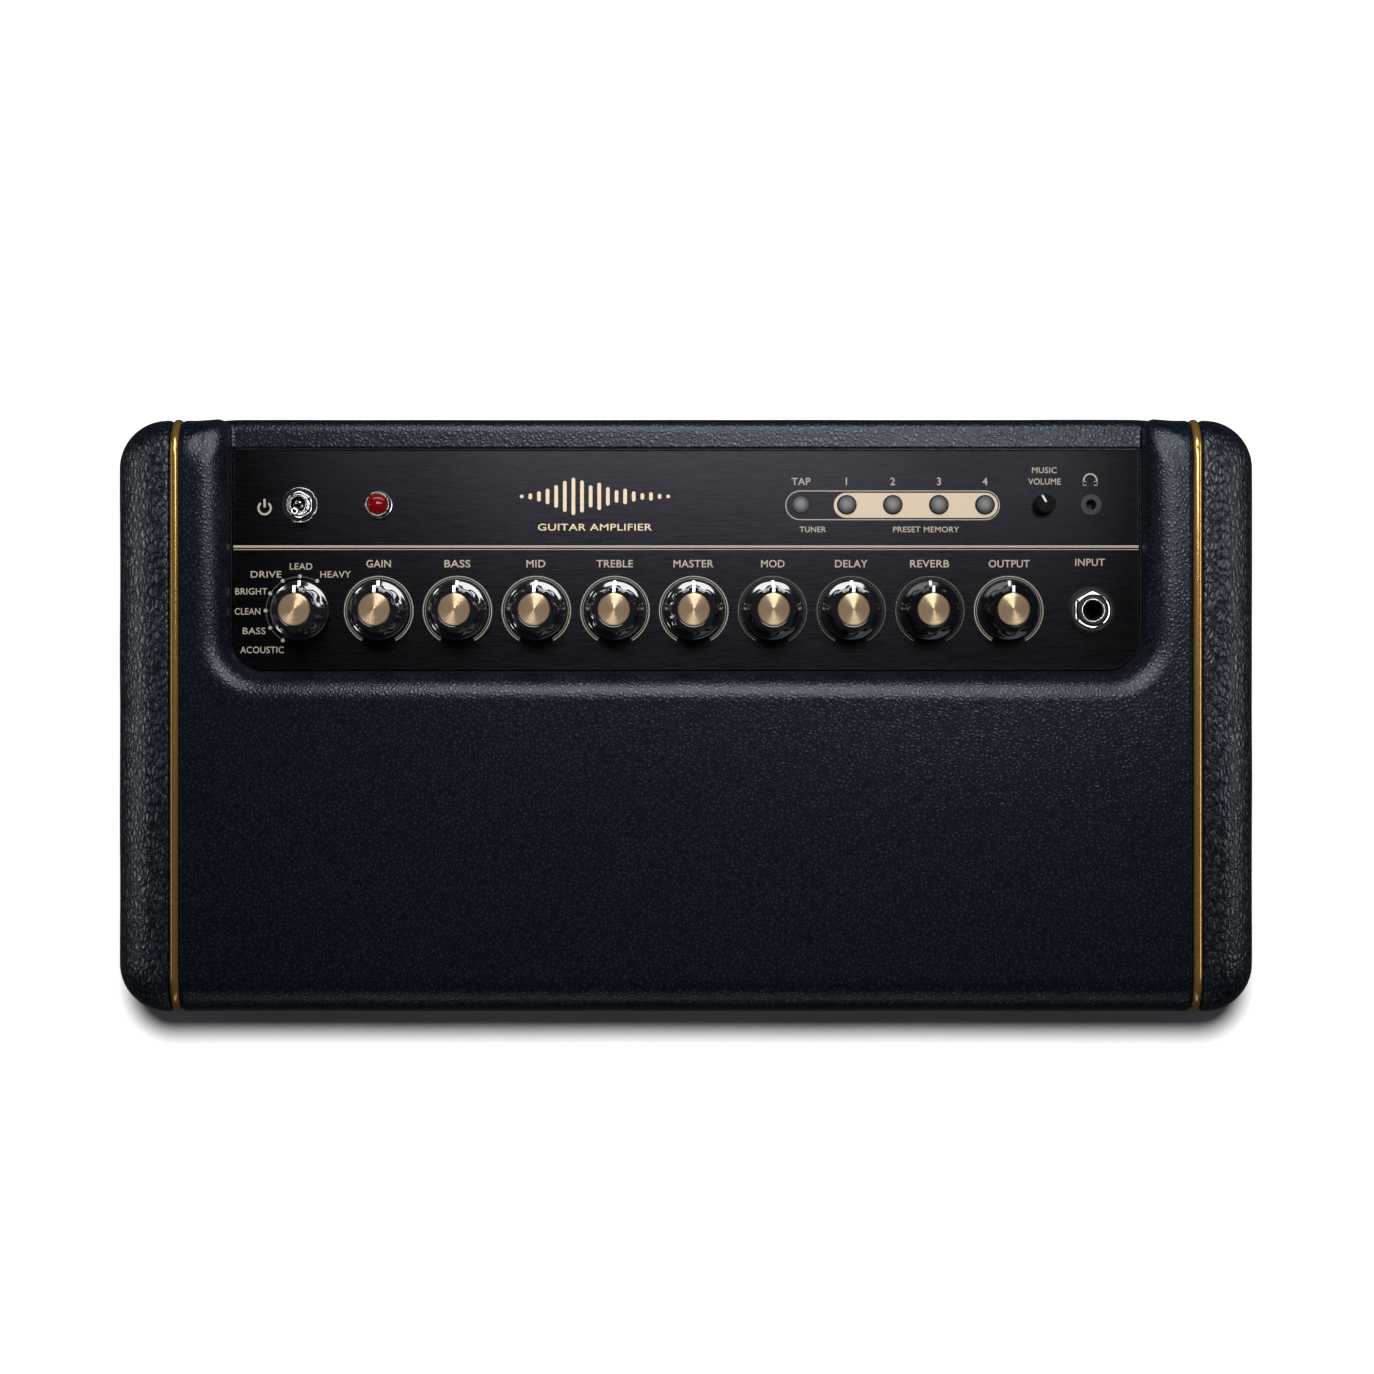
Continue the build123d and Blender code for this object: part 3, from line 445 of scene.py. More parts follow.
VINYL = vinyl()
GOLD_CORD = piping()
PANEL_BLACK = brushed_black("black_panel", tint=(0.0245, 0.0236, 0.0290))
PLATE_BLACK = brushed_black("black_plate", tint=(0.040, 0.040, 0.043), upright=True)
INK = print_ink("legend_ink", (0.335, 0.288, 0.240))
RING_INK = print_ink("scale_ink", (0.27, 0.24, 0.205))
INK_FILL = print_ink("legend_fill", (0.62, 0.50, 0.36))
STRIP_INK = print_ink("strip_ink", (0.50, 0.41, 0.305))
WHITE_INK = print_ink("pointer_ink", (0.86, 0.86, 0.86), rough=0.35)
GLOSS_BLACK = moulded("gloss_black_plastic", (0.0035, 0.0035, 0.0040), rough=0.115, coat=1.0,
                      scale=1400.0, spec=0.6)
BLACK_PLASTIC = moulded("black_plastic", (0.010, 0.010, 0.011), rough=0.34, grain=0.15)
SPUN = spun_gold()
CHROME = metal("chrome", (0.78, 0.78, 0.80), rough=0.08)
SATIN_BLACK = metal("satin_black", (0.020, 0.020, 0.023), rough=0.34, metallic=0.5)
DARK_METAL = metal("dark_metal", (0.055, 0.055, 0.060), rough=0.30)
DRESS_RING = metal("dress_ring", (0.055, 0.056, 0.062), rough=0.38, metallic=0.6)
ZINC = metal("zinc_steel", (0.52, 0.52, 0.55), rough=0.34, streak=(1.0, 8.0, 1.0))
STEEL_BLACK = metal("black_steel", (0.030, 0.030, 0.032), rough=0.42, metallic=0.4)
FERRITE = moulded("ferrite", (0.035, 0.034, 0.034), rough=0.62, grain=0.8, scale=900.0)
RUBBER = moulded("soft_rubber", (0.010, 0.010, 0.010), rough=0.66, grain=0.6, scale=1500.0,
                 spec=0.35)
LENS = lamp_red()
FROST = frosted()
CLOTH = woven()
BOARD = painted_board()
LAMINATE = textured_laminate()
PCB = circuit()
PAPER = paper()
LEAD = lead_sleeve()

# which CAD pieces each material covers
CAD_PIECES = (
    (BOARD, "centre_carcass end_cheeks front_baffle grille_frame"),
    (LAMINATE, "rear_panel"),
    (PANEL_BLACK, "control_panel"),
    (PLATE_BLACK, "connector_plate"),
    (ZINC, "panel_tub potentiometers usb_socket"),
    (PCB, "control_board amplifier_board"),
    (CHROME, "power_toggle_body power_toggle_lever indicator_bezel input_jack_nut"),
    (LENS, "indicator_lens"),
    (BLACK_PLASTIC, "input_jack dc_power_jack port_tube"),
    (DRESS_RING, "headphone_jack"),
    (STEEL_BLACK, "speaker_baskets"),
    (FERRITE, "speaker_magnets"),
    (RUBBER, "speaker_surrounds rubber_feet"),
    (DARK_METAL, "speaker_screws case_screws"),
    (PAPER, "left_speaker_cone right_speaker_cone"),
    (LEAD, "driver_leads"),
    (GOLD_CORD, "gold_piping"),
    (VINYL, "centre_vinyl_cover end_vinyl_covers"),
    (CLOTH, "grille_cloth"),
    (GLOSS_BLACK, "music_volume_knob " + " ".join(n + "_knob" for n in KNOBS)),
    (SPUN, " ".join(n + "_knob_cap" for n in KNOBS)),
    (FROST, " ".join(BUTTONS)),
)
MATERIAL_OF = {name: mat for mat, names in CAD_PIECES for name in names.split()}
for name, o in frame["nodes"].items():
    if not o.material_slots:
        o.data.materials.append(MATERIAL_OF[name])
    for slot in o.material_slots:
        slot.material = MATERIAL_OF[name]


# ------------------------------------------------------------------ mesh helpers
def mesh_object(name, verts, faces, mats, indices=None, smooth=True, body=ROOT,
                origin=(0, 0, 0)):
    """A mesh from points in mm, riding on a body; indices gives each face's material."""
    mesh = bpy.data.meshes.new(name)
    points = np.asarray(verts, float) * MM
    mesh.from_pydata(points.tolist(), [], [list(map(int, f)) for f in faces])
    mesh.update()
    for mat in mats:
        mesh.materials.append(mat)
    if indices is not None:
        mesh.polygons.foreach_set("material_index", np.asarray(indices, np.int32))
    mesh.polygons.foreach_set("use_smooth", np.full(len(mesh.polygons), smooth))
    o = bpy.data.objects.new(name, mesh)
    o.location = Vector(origin) * MM
    bpy.context.scene.collection.objects.link(o)
    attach(o, body)
    return o


def stand_in(o, slot, *nodes):
    """Hides the CAD pieces that an object takes the place of; slot, its finish, is not used."""
    if nodes:
        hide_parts(*nodes)


def thicken(o, thickness):
    """Gives a sheet its thickness on the inner side and bakes it in."""
    solid = o.modifiers.new("thickness", "SOLIDIFY")
    solid.thickness = thickness * MM
    solid.offset = -1.0
    solid.use_even_offset = False
    bpy.context.view_layer.update()
    graph = bpy.context.evaluated_depsgraph_get()
    mesh = bpy.data.meshes.new_from_object(o.evaluated_get(graph))
    o.modifiers.clear()
    o.data = mesh


def lathe(profile, segments, rule=None):
    """Surface of revolution of (r, z) points; rule(r, z, angles) may vary the radius."""
    verts, faces, rings = [], [], []
    angles = np.arange(segments) * 2 * np.pi / segments
    for r, z in profile:
        if r < 1e-6:
            rings.append([len(verts)])
            verts.append((0.0, 0.0, z))
        else:
            radii = rule(r, z, angles) if rule else np.full(segments, r)
            rings.append(list(range(len(verts), len(verts) + segments)))
            verts.extend(zip(radii * np.cos(angles), radii * np.sin(angles),
                             np.full(segments, z)))
    for a, b in zip(rings[:-1], rings[1:]):
        for i in range(segments):
            j = (i + 1) % segments
            if len(a) == 1:
                faces.append((a[0], b[j], b[i]))
            elif len(b) == 1:
                faces.append((a[i], a[j], b[0]))
            else:
                faces.append((a[i], a[j], b[j], b[i]))
    return verts, faces


def smooth_step(start, end, x):
    t = np.clip((x - start) / (end - start), 0, 1)
    return t * t * (3 - 2 * t)


# ------------------------------------------------------------------ vinyl
def round_max(a, b, r):
    """Intersection of two distance fields with the edge rounded to r."""
    qx, qy = a + r, b + r
    outside = np.hypot(np.maximum(qx, 0), np.maximum(qy, 0))
    return outside + np.minimum(np.maximum(qx, qy), 0) - r


def rounded_rect(x, y, cx, cy, half_x, half_y, r):
    return round_max(np.abs(x - cx) - half_x, np.abs(y - cy) - half_y, r)


def envelope(x, y, z):
    plan = rounded_rect(x, y, 0, 0, WIDTH / 2, DEPTH / 2, R_PLAN)
    return np.maximum(round_max(plan, z - Z_TOP, R_TOP), round_max(plan, Z_BOT - z, R_BOT))


def cut_opening(surface, x, z, opening, keep, corner_r, edge_r):
    """Cuts a round-cornered opening; keep is the distance to the plane it stops at."""
    half, low, high = opening
    edge = rounded_rect(x, z, 0, (low + high) / 2, half, (high - low) / 2, corner_r)
    return round_max(np.minimum(-edge, keep), surface, edge_r)


def skin(x, y, z):
    """Distance in mm to the outside of the vinyl, negative inside the cabinet."""
    # the well round the panel runs out over the lower rear rail; the cut is 300 mm deep
    half_cut = 150
    plan = rounded_rect(x, y, 0, PANEL_Y0 - POCKET_GAP + half_cut, PANEL_X + POCKET_GAP,
                        half_cut, PANEL_R + POCKET_GAP)
    well = np.minimum(round_max(-plan, z - Z_TOP, ROLL_R), z - RAIL_Z)
    rail = smooth_step(82, 92, y) * (1 - smooth_step(161, 166.5, np.abs(x)))
    s = round_max(envelope(x, y, z), well, 4.2 * rail + 1e-6)
    # seam groove
    off_seam = np.abs(np.abs(x) - SEAM_X)
    lip = np.minimum(round_max(BED_R - off_seam, s, LIP_R), s + LIP_R)
    s = np.maximum(lip, BED_R - np.hypot(off_seam, s + LIP_R))
    s = cut_opening(s, x, z, GRILLE, GRILLE_Y - y, corner_r=5, edge_r=2.0)
    s = cut_opening(s, x, z, REAR, y - REAR_Y, corner_r=6, edge_r=1.3)
    pocket = np.maximum(np.maximum(plan, 186.0 - z), y - (PANEL_Y1 + POCKET_GAP))
    return np.maximum(s, -pocket)


def skin_slope(points, h):
    slope = np.zeros_like(points)
    for n in range(3):
        d = np.zeros(3)
        d[n] = h
        slope[:, n] = (skin(*(points + d).T) - skin(*(points - d).T)) / (2 * h)
    return slope


def spaced(stops):
    """Grid lines from (start, end, step) pieces."""
    out = []
    for start, end, step in stops:
        n = max(1, int(round((end - start) / step)))
        out += list(start + (end - start) * np.arange(n) / n)
    out.append(stops[-1][1])
    return np.array(out)


# grid pieces (start, end, step), finer at the seams, corners and edges
GRID_X = [(0, 140, 3.4), (140, 150, 2.0), (150, 166.6, 0.95), (166.6, 173.4, 0.34),
          (173.4, 178, 1.1), (178, 191.2, 0.85)]
GRID_Y = [(-100.2, -84, 0.95), (-84, 2, 3.0), (2, 17, 0.85), (17, 82, 3.0), (82, 100.2, 0.85)]
GRID_Z = [(8.8, 20, 0.9), (20, 34, 1.6), (34, 166, 3.0), (166, 185.2, 1.35),
          (185.2, 204.2, 0.8)]
# skin left out behind the openings: half width, y from and to, z from and to
BARE = (
    (GRILLE[0] + 0.5, -91.2, -88, GRILLE[1] - 0.5, GRILLE[2] + 0.5),
    (REAR[0] + 0.5, 91.2, 93.4, REAR[1] - 0.5, REAR[2] + 0.5),
    (153.5, 14.4, 90.0, 185, 187.75),
)


def surface_net():
    """Points and quads where the skin crosses the grid: one point to a cell."""
    right = spaced(GRID_X)
    axes = (np.concatenate([-right[:0:-1], right]), spaced(GRID_Y), spaced(GRID_Z))
    field = skin(*np.meshgrid(*axes, indexing="ij"))
    field[np.abs(field) < 1e-9] = 1e-9
    nx, ny, nz = field.shape
    total = np.zeros((nx - 1, ny - 1, nz - 1, 3))
    count = np.zeros((nx - 1, ny - 1, nz - 1))
    inside = field < 0
    quads = []
    for axis in range(3):
        near = [slice(None)] * 3
        far = [slice(None)] * 3
        near[axis], far[axis] = slice(0, -1), slice(1, None)
        near, far = tuple(near), tuple(far)
        crossing = inside[near] != inside[far]
        index = np.nonzero(crossing)
        before = field[near][crossing]
        share = before / (before - field[far][crossing])
        at = np.stack([axes[n][index[n]] for n in range(3)], 1)
        step = axes[axis][index[axis] + 1] - axes[axis][index[axis]]
        at[:, axis] += share * step
        second, third = [n for n in range(3) if n != axis]
        cells = []
        for d2, d3 in ((-1, -1), (0, -1), (0, 0), (-1, 0)):
            cell = list(index)
            cell[second] = cell[second] + d2
            cell[third] = cell[third] + d3
            np.add.at(total, tuple(cell), at)
            np.add.at(count, tuple(cell), 1)
            cells.append((cell[0] * (ny - 1) + cell[1]) * (nz - 1) + cell[2])
        quad = np.stack(cells, 1)
        forward = inside[near][crossing]
        if axis == 1:
            forward = ~forward
        quad[~forward] = quad[~forward][:, ::-1]
        quads.append(quad)
    quads = np.concatenate(quads)
    used, inverse = np.unique(quads, return_inverse=True)
    points = total.reshape(-1, 3)[used] / count.reshape(-1)[used][:, None]
    return points, inverse.reshape(quads.shape)


def settle(points):
    """Moves the points onto the skin itself."""
    for _ in range(4):
        distance = skin(*points.T)
        slope = skin_slope(points, 0.02)
        steep = np.maximum((slope * slope).sum(1), 0.2)
        points -= np.clip(distance / steep, -0.6, 0.6)[:, None] * slope


def wobble(points):
    """Slow unevenness of cloth-backed vinyl glued over wood, from a fixed set of waves."""
    rng = np.random.default_rng(7)
    out = np.zeros(len(points))
    for _ in range(14):
        k = rng.normal(size=3)
        k *= 2 * np.pi / rng.uniform(26, 70) / np.linalg.norm(k)
        out += np.sin(points @ k + rng.uniform(0, 6.28)) * rng.uniform(0.4, 1.0)
    return out / 14


def dress(points):
    """Adds the unevenness, the gathers at the seams, the crowned ends and the padded rail."""
    slope = skin_slope(points, 0.3)
    normal = slope / np.maximum(np.linalg.norm(slope, axis=1), 1e-6)[:, None]
    x, y, z = points.T
    off_centre, off_seam = np.abs(x), np.abs(np.abs(x) - SEAM_X)
    uneven = 0.30 * smooth_step(3.0, 9.0, off_seam) * wobble(points)
    # gathered vinyl beside the seam where it turns the upper corners of the cabinet
    arc = np.arctan2(z - (Z_TOP - R_TOP), np.abs(y) - (DEPTH / 2 - R_TOP)) * R_TOP
    corner = np.exp(-(np.hypot(np.abs(y) - (DEPTH / 2 - 6), z - (Z_TOP - 6)) / 9.0) ** 2)
    beside = np.exp(-((off_seam - 3.6) / 3.4) ** 2) * (off_seam > 2.2)
    pleat = np.sin(2 * np.pi * arc / 2.3 + 1.7 * np.sin(off_seam * 1.3)) * corner * beside
    out = points + normal * (uneven + 0.13 * pleat)[:, None]
    # the ends crown down from the seam, and the rear rail is padded out to their line
    out[:, 2] -= 1.4 * smooth_step(172.5, 190.0, off_centre) * smooth_step(170.0, 198.0, z)
    out[:, 1] += (0.95 * (1 - smooth_step(150.0, 166.0, off_centre))
                  * smooth_step(84.0, 96.0, y) * smooth_step(140.0, 176.0, z))
    return out


def build_vinyl():
    points, quads = surface_net()
    settle(points)
    points = dress(points)
    x, y, z = points[quads].mean(1).T
    keep = np.full(len(quads), True)
    for half, y0, y1, z0, z1 in BARE:
        keep &= ~((np.abs(x) < half) & (y > y0) & (y < y1) & (z > z0) & (z < z1))
    for part, mask, node in (("centre", np.abs(x) < SEAM_X, "centre_vinyl_cover"),
                             ("left_end", x < -SEAM_X, "end_vinyl_covers"),
                             ("right_end", x > SEAM_X, "end_vinyl_covers")):
        chosen = quads[keep & mask]
        ids, inverse = np.unique(chosen, return_inverse=True)
        o = mesh_object("vinyl_wrap_" + part, points[ids], inverse.reshape(chosen.shape),
                        [VINYL])
        thicken(o, 0.8)
        stand_in(o, "navy_vinyl", node)


build_vinyl()


# ------------------------------------------------------------------ piping
def cord_path(inset, step=1.6):
    """(y, z) points and outward directions round the cabinet's side outline."""
    y0, y1 = -DEPTH / 2 + inset, DEPTH / 2 - inset
    z0, z1 = Z_BOT + inset, Z_TOP - inset
    rt, rb = R_TOP - inset, R_BOT - inset
    path = []

    def line(a, b, out):
        n = max(1, int(np.hypot(b[0] - a[0], b[1] - a[1]) / step))
        for i in range(n):
            t = i / n
            path.append(((a[0] + (b[0] - a[0]) * t, a[1] + (b[1] - a[1]) * t), out))

    def arc(cy, cz, r, start):
        """Quarter turn, clockwise in YZ."""
        n = max(8, int(math.radians(90) * r / (step * 0.5)))
        for i in range(n):
            a = math.radians(start - 90 * i / n)
            c, s = math.cos(a), math.sin(a)
            path.append(((cy + r * c, cz + r * s), (c, s)))

    line((y0 + rt, z1), (y1 - rt, z1), (0, 1))
    arc(y1 - rt, z1 - rt, rt, 90)
    line((y1, z1 - rt), (y1, z0 + rb), (1, 0))
    arc(y1 - rb, z0 + rb, rb, 0)
    line((y1 - rb, z0), (y0 + rb, z0), (0, -1))
    arc(y0 + rb, z0 + rb, rb, -90)
    line((y0, z0 + rb), (y0, z1 - rt), (-1, 0))
    arc(y0 + rt, z1 - rt, rt, 180)
    return path


def build_piping():
    path, segments = cord_path(PIPE_DEPTH), 28
    for side, name in ((-1, "piping_left"), (1, "piping_right")):
        verts, faces = [], []
        for i, ((y, z), out) in enumerate(path):
            sway = 0.03 * math.sin(i * 0.043 + side)
            radius = PIPE_R * (1.0 + 0.006 * math.sin(i * 0.071 + 2 * side))
            for k in range(segments):
                a = 2 * math.pi * k / segments
                # slightly flattened on the crown, like a cord pulled over a corner
                lift = radius * math.sin(a) * (0.97 if math.sin(a) > 0 else 1.0)
                verts.append((side * SEAM_X + radius * math.cos(a) + sway,
                              y + out[0] * lift, z + out[1] * lift))
        for i in range(len(path)):
            a, b = i * segments, (i + 1) % len(path) * segments
            for k in range(segments):
                l = (k + 1) % segments
                faces.append((a + k, a + l, b + l, b + k))
        stand_in(mesh_object(name, verts, faces, [GOLD_CORD]), "gold_piping", "gold_piping")


build_piping()

# ------------------------------------------------------------------ knobs
# profiles are (radius, height above the panel)
KNOB_OUTER = [
    (9.60, 0.85), (9.90, 0.93), (10.04, 1.12), (10.08, 1.38), (10.07, 1.62), (10.02, 1.84),
    (9.92, 2.02), (9.76, 2.16), (9.52, 2.28), (9.15, 2.41), (8.75, 2.55), (8.45, 2.66),
    (8.41, 2.78), (8.39, 2.90), (8.37, 3.01), (8.35, 3.12), (8.34, 3.6), (8.32, 4.4),
    (8.30, 5.2), (8.26, 7.0), (8.18, 9.5), (8.10, 12.0), (8.03, 14.4), (7.99, 15.4),
    (7.95, 15.72), (7.87, 15.92), (7.76, 16.05), (7.60, 16.13), (7.40, 16.175),
    (7.10, 16.20), (6.70, 16.23), (6.35, 16.26), (5.98, 16.28), (5.70, 16.26),
    (5.56, 16.14), (5.50, 15.85)]
KNOB_INNER = [(0.0, 4.0), (6.1, 4.0), (6.25, 3.8), (6.3, 1.2), (6.35, 0.95), (6.5, 0.85)]
KNOB_SEAT = [(5.48, 15.6), (0.0, 15.6)]         # recess the cap sits in
# turned caps are very slightly conical, which throws the highlight to one side
CAP_PROFILE = [
    (0.0, 15.62), (5.20, 15.62), (5.34, 15.68), (5.40, 15.80), (5.41, 16.34), (5.38, 16.48),
    (5.30, 16.58), (5.15, 16.65), (4.8, 16.695), (4.0, 16.765), (3.0, 16.850), (2.0, 16.935),
    (1.2, 17.003), (0.5, 17.058), (0.0, 17.08)]
MUSIC_PROFILE = [
    (0.0, 0.6), (3.35, 0.6), (3.52, 0.68), (3.55, 0.9), (3.55, 1.9), (3.48, 2.1),
    (3.36, 2.4), (3.34, 3.0), (3.30, 5.0), (3.24, 7.5), (3.18, 8.7), (3.06, 9.15),
    (2.86, 9.42), (2.6, 9.56), (2.2, 9.60), (1.2, 9.56), (0.0, 9.54)]
MUSIC_POINTER = [
    (0.5, 9.565), (1.2, 9.58), (2.2, 9.62), (2.6, 9.585), (2.86, 9.445), (3.06, 9.17),
    (3.18, 8.72), (3.24, 7.5), (3.30, 5.0)]


def flutes(count, angles):
    """0 to 1 round the knob, with a ridge on the +Y side."""
    return 0.5 + 0.5 * np.cos(count * (angles - math.pi / 2) + math.pi)


def knob_radius(r, z, angles):
    """Eight flutes, cut in over the first part of the flank and shallower at the crown."""
    if r < 6.9 or z < 2.66:
        return np.full(len(angles), r)
    depth = 0.95 * flutes(8, angles) ** 1.25
    fade = min(1.0, (z - 2.66) / 0.46) * (1 - 0.45 * float(smooth_step(15.0, 16.15, z)))
    return r - depth * fade


def music_radius(r, z, angles):
    fade = 0.0
    if r > 2.7:
        fade = float(smooth_step(2.1, 2.7, z)) * (1 - float(smooth_step(8.9, 9.5, z)))
    return r - 0.30 * fade * flutes(18, angles) ** 1.4


def add_pointer(verts, faces, path, columns, raised, rule=None):
    """Closed strip over a knob on its +Y side, from slightly under the surface to over it."""
    tops, lows = [], []
    for i, (r, z) in enumerate(path):
        before, after = path[max(i - 1, 0)], path[min(i + 1, len(path) - 1)]
        dr, dz = after[0] - before[0], after[1] - before[1]
        length = math.hypot(dr, dz)
        nr, nz = -dz / length, dr / length
        tops.append([])
        lows.append([])
        for x in columns:
            angle = math.pi / 2 - math.asin(x / r)
            radius = float(rule(r, z, np.array([angle]))[0]) if rule else r
            for row, height in ((tops[-1], raised), (lows[-1], -0.05)):
                q = radius + nr * height
                row.append(len(verts))
                verts.append((x, math.sqrt(q * q - x * x), z + nz * height))
    across = range(len(columns) - 1)
    for top, top2, low, low2 in zip(tops, tops[1:], lows, lows[1:]):
        for j in across:
            faces.append((top[j], top2[j], top2[j + 1], top[j + 1]))
            faces.append((low[j], low[j + 1], low2[j + 1], low2[j]))
        faces.append((top[0], low[0], low2[0], top2[0]))
        faces.append((top[-1], top2[-1], low2[-1], low[-1]))
    for j in across:
        faces.append((tops[0][j], tops[0][j + 1], lows[0][j + 1], lows[0][j]))
        faces.append((tops[-1][j], lows[-1][j], lows[-1][j + 1], tops[-1][j + 1]))


def knob_mesh():
    verts, faces = lathe(KNOB_INNER + KNOB_OUTER + KNOB_SEAT, 160, knob_radius)
    plain = len(faces)
    # the pointer runs over the crown, flank and skirt, in pieces of about half a mm
    path = [(5.62, 16.24)] + [p for p in KNOB_OUTER[::-1] if p[0] >= 5.98 and p[1] >= 1.55]
    dense = []
    for (r0, z0), (r1, z1) in zip(path[:-1], path[1:]):
        n = max(1, int(math.hypot(r1 - r0, z1 - z0) / 0.5))
        dense += [(r0 + (r1 - r0) * i / n, z0 + (z1 - z0) * i / n) for i in range(n)]
    dense.append(path[-1])
    add_pointer(verts, faces, dense, np.linspace(-0.50, 0.50, 7), 0.045, knob_radius)
    return verts, faces, [0] * plain + [1] * (len(faces) - plain)


def build_knobs():
    verts, faces, indices = knob_mesh()
    cap_verts, cap_faces = lathe(CAP_PROFILE, 128)
    for n in KNOBS:
        place = dict(body=n + "_control", origin=(KNOB_X[n], ROW_Y, PANEL_Z))
        o = mesh_object(n + "_knob_moulding", verts, faces, [GLOSS_BLACK, WHITE_INK], indices,
                        **place)
        stand_in(o, "gloss_black_plastic", n + "_knob")
        o = mesh_object(n + "_spun_cap", cap_verts, cap_faces, [SPUN], **place)
        stand_in(o, "gold_cap", n + "_knob_cap")


def build_music_knob():
    verts, faces = lathe(MUSIC_PROFILE, 180, music_radius)
    plain = len(faces)
    add_pointer(verts, faces, MUSIC_POINTER, np.linspace(-0.34, 0.34, 5), 0.03)
    # at rest the pointer stands at about eleven o'clock
    c, s = math.cos(math.radians(30)), math.sin(math.radians(30))
    verts = [(x * c - y * s, x * s + y * c, z) for x, y, z in verts]
    o = mesh_object("music_volume_moulding", verts, faces, [BLACK_PLASTIC, WHITE_INK],
                    [0] * plain + [1] * (len(faces) - plain), body="music_volume_control",
                    origin=(MUSIC_X, TOP_ROW_Y, PANEL_Z))
    stand_in(o, "black_plastic", "music_volume_knob")


build_knobs()
build_music_knob()


# ------------------------------------------------------------------ bright fittings
def hexed(flats):
    """Radius rule for a nut: the turned profile cut by six flats, with softened corners."""
    def rule(r, z, angles):
        if r < flats / 2 - 0.3:
            return np.full(len(angles), r)
        a = (angles + math.pi / 6) % (math.pi / 3) - math.pi / 6
        flat = flats / 2 / np.cos(a)
        soft = 0.16
        d = np.clip(0.5 + 0.5 * (r - flat) / soft, 0, 1)
        return r + (flat - r) * d - soft * d * (1 - d)
    return rule


def turned(name, node, x, y, profile, mats=(CHROME,), segments=96, rule=None, second=None):
    """Closed turned ring on the panel; second(r, z) picks the second material."""
    verts, faces = lathe(profile, segments, rule)
    last = len(verts) - segments
    for i in range(segments):
        j = (i + 1) % segments
        faces.append((last + i, last + j, j, i))
    indices = None
    if second:
        middles = [((a[0] + b[0]) / 2, (a[1] + b[1]) / 2)
                   for a, b in zip(profile, profile[1:] + profile[:1])]
        indices = [int(second(*m)) for m in middles for _ in range(segments)]
    o = mesh_object(name, verts, faces, mats, indices, origin=(x, y, PANEL_Z))
    stand_in(o, "chrome", *([node] if node else []))


def build_toggle_case():
    """Round-cornered box under the panel, chamfered at both ends."""
    outline = []
    for cx, cy, start in ((5.7, 3.2, 0), (-5.7, 3.2, 90), (-5.7, -3.2, 180), (5.7, -3.2, 270)):
        for k in range(7):
            a = math.radians(start + 15 * k)
            outline.append((cx + 0.8 * math.cos(a), cy + 0.8 * math.sin(a)))
    # share of the full outline, height from the panel
    levels = [(0.88, BOARD_TOP), (1.0, BOARD_TOP + 0.5), (1.0, -4.0), (0.88, -3.52)]
    verts = [(x * k, y * k, z) for k, z in levels for x, y in outline]
    n = len(outline)
    faces = []
    for a in (0, n, 2 * n):
        faces += [(a + i, a + (i + 1) % n, a + n + (i + 1) % n, a + n + i) for i in range(n)]
    faces += [tuple(range(n - 1, -1, -1)), tuple(range(3 * n, 4 * n))]
    o = mesh_object("toggle_case", verts, faces, [BLACK_PLASTIC], smooth=False,
                    origin=(TOGGLE_X, TOP_ROW_Y, PANEL_Z))
    stand_in(o, "black_plastic", "power_toggle_body")


def build_fittings():
    toggle = ("power_toggle_body", TOGGLE_X, TOP_ROW_Y)
    turned("toggle_washer", *toggle, [
        (5.78, 0.02), (5.90, 0.12), (5.92, 0.40), (5.84, 0.54), (5.70, 0.60), (5.56, 0.55),
        (5.46, 0.46), (5.2, 0.42), (3.10, 0.42), (3.10, 0.02)],
        mats=(SATIN_BLACK, CHROME), segments=120, second=lambda r, z: r > 5.5 and z > 0.3)
    turned("toggle_nut", *toggle, [
        (4.70, 0.46), (4.76, 0.60), (4.76, 1.9), (4.70, 2.12), (4.52, 2.38), (4.30, 2.60),
        (4.05, 2.76), (3.80, 2.84), (3.60, 2.86), (3.04, 2.86), (3.04, 0.46)],
        segments=144, rule=hexed(8.5))
    turned("toggle_bushing", *toggle, [
        (3.0, -3.4), (3.0, 4.1), (3.06, 4.3), (3.24, 4.46), (3.38, 4.70), (3.42, 5.0),
        (3.36, 5.28), (3.20, 5.50), (2.98, 5.60), (2.76, 5.56), (2.60, 5.38), (2.50, 5.0),
        (2.42, 4.4), (2.38, 3.6), (2.38, -3.4)])
    build_toggle_case()
    turned("jack_hex_nut", "input_jack_nut", INPUT_X, ROW_Y, [
        (6.50, 2.32), (6.60, 2.42), (6.60, 3.7), (6.45, 3.95), (6.20, 4.16), (5.95, 4.36),
        (5.72, 4.54), (5.50, 4.68), (5.28, 4.76), (5.05, 4.78), (4.74, 4.78), (4.74, 2.32)],
        segments=144, rule=hexed(11.8))
    turned("jack_inner_ring", None, INPUT_X, ROW_Y, [
        (3.90, 5.18), (3.88, 5.28), (3.80, 5.35), (3.69, 5.36), (3.60, 5.30), (3.56, 5.18)])
    turned("lamp_bezel", "indicator_bezel", LAMP_X, TOP_ROW_Y, [
        (4.60, 0.02), (4.72, 0.14), (4.70, 0.40), (4.50, 0.66), (4.22, 0.86), (4.06, 1.15),
        (4.00, 1.7), (3.95, 4.3), (3.92, 4.75), (3.84, 4.98), (3.72, 5.07), (3.60, 5.05),
        (3.50, 4.94), (3.46, 4.7), (3.46, 2.0), (3.0, 2.0), (3.0, 0.02)])


build_fittings()

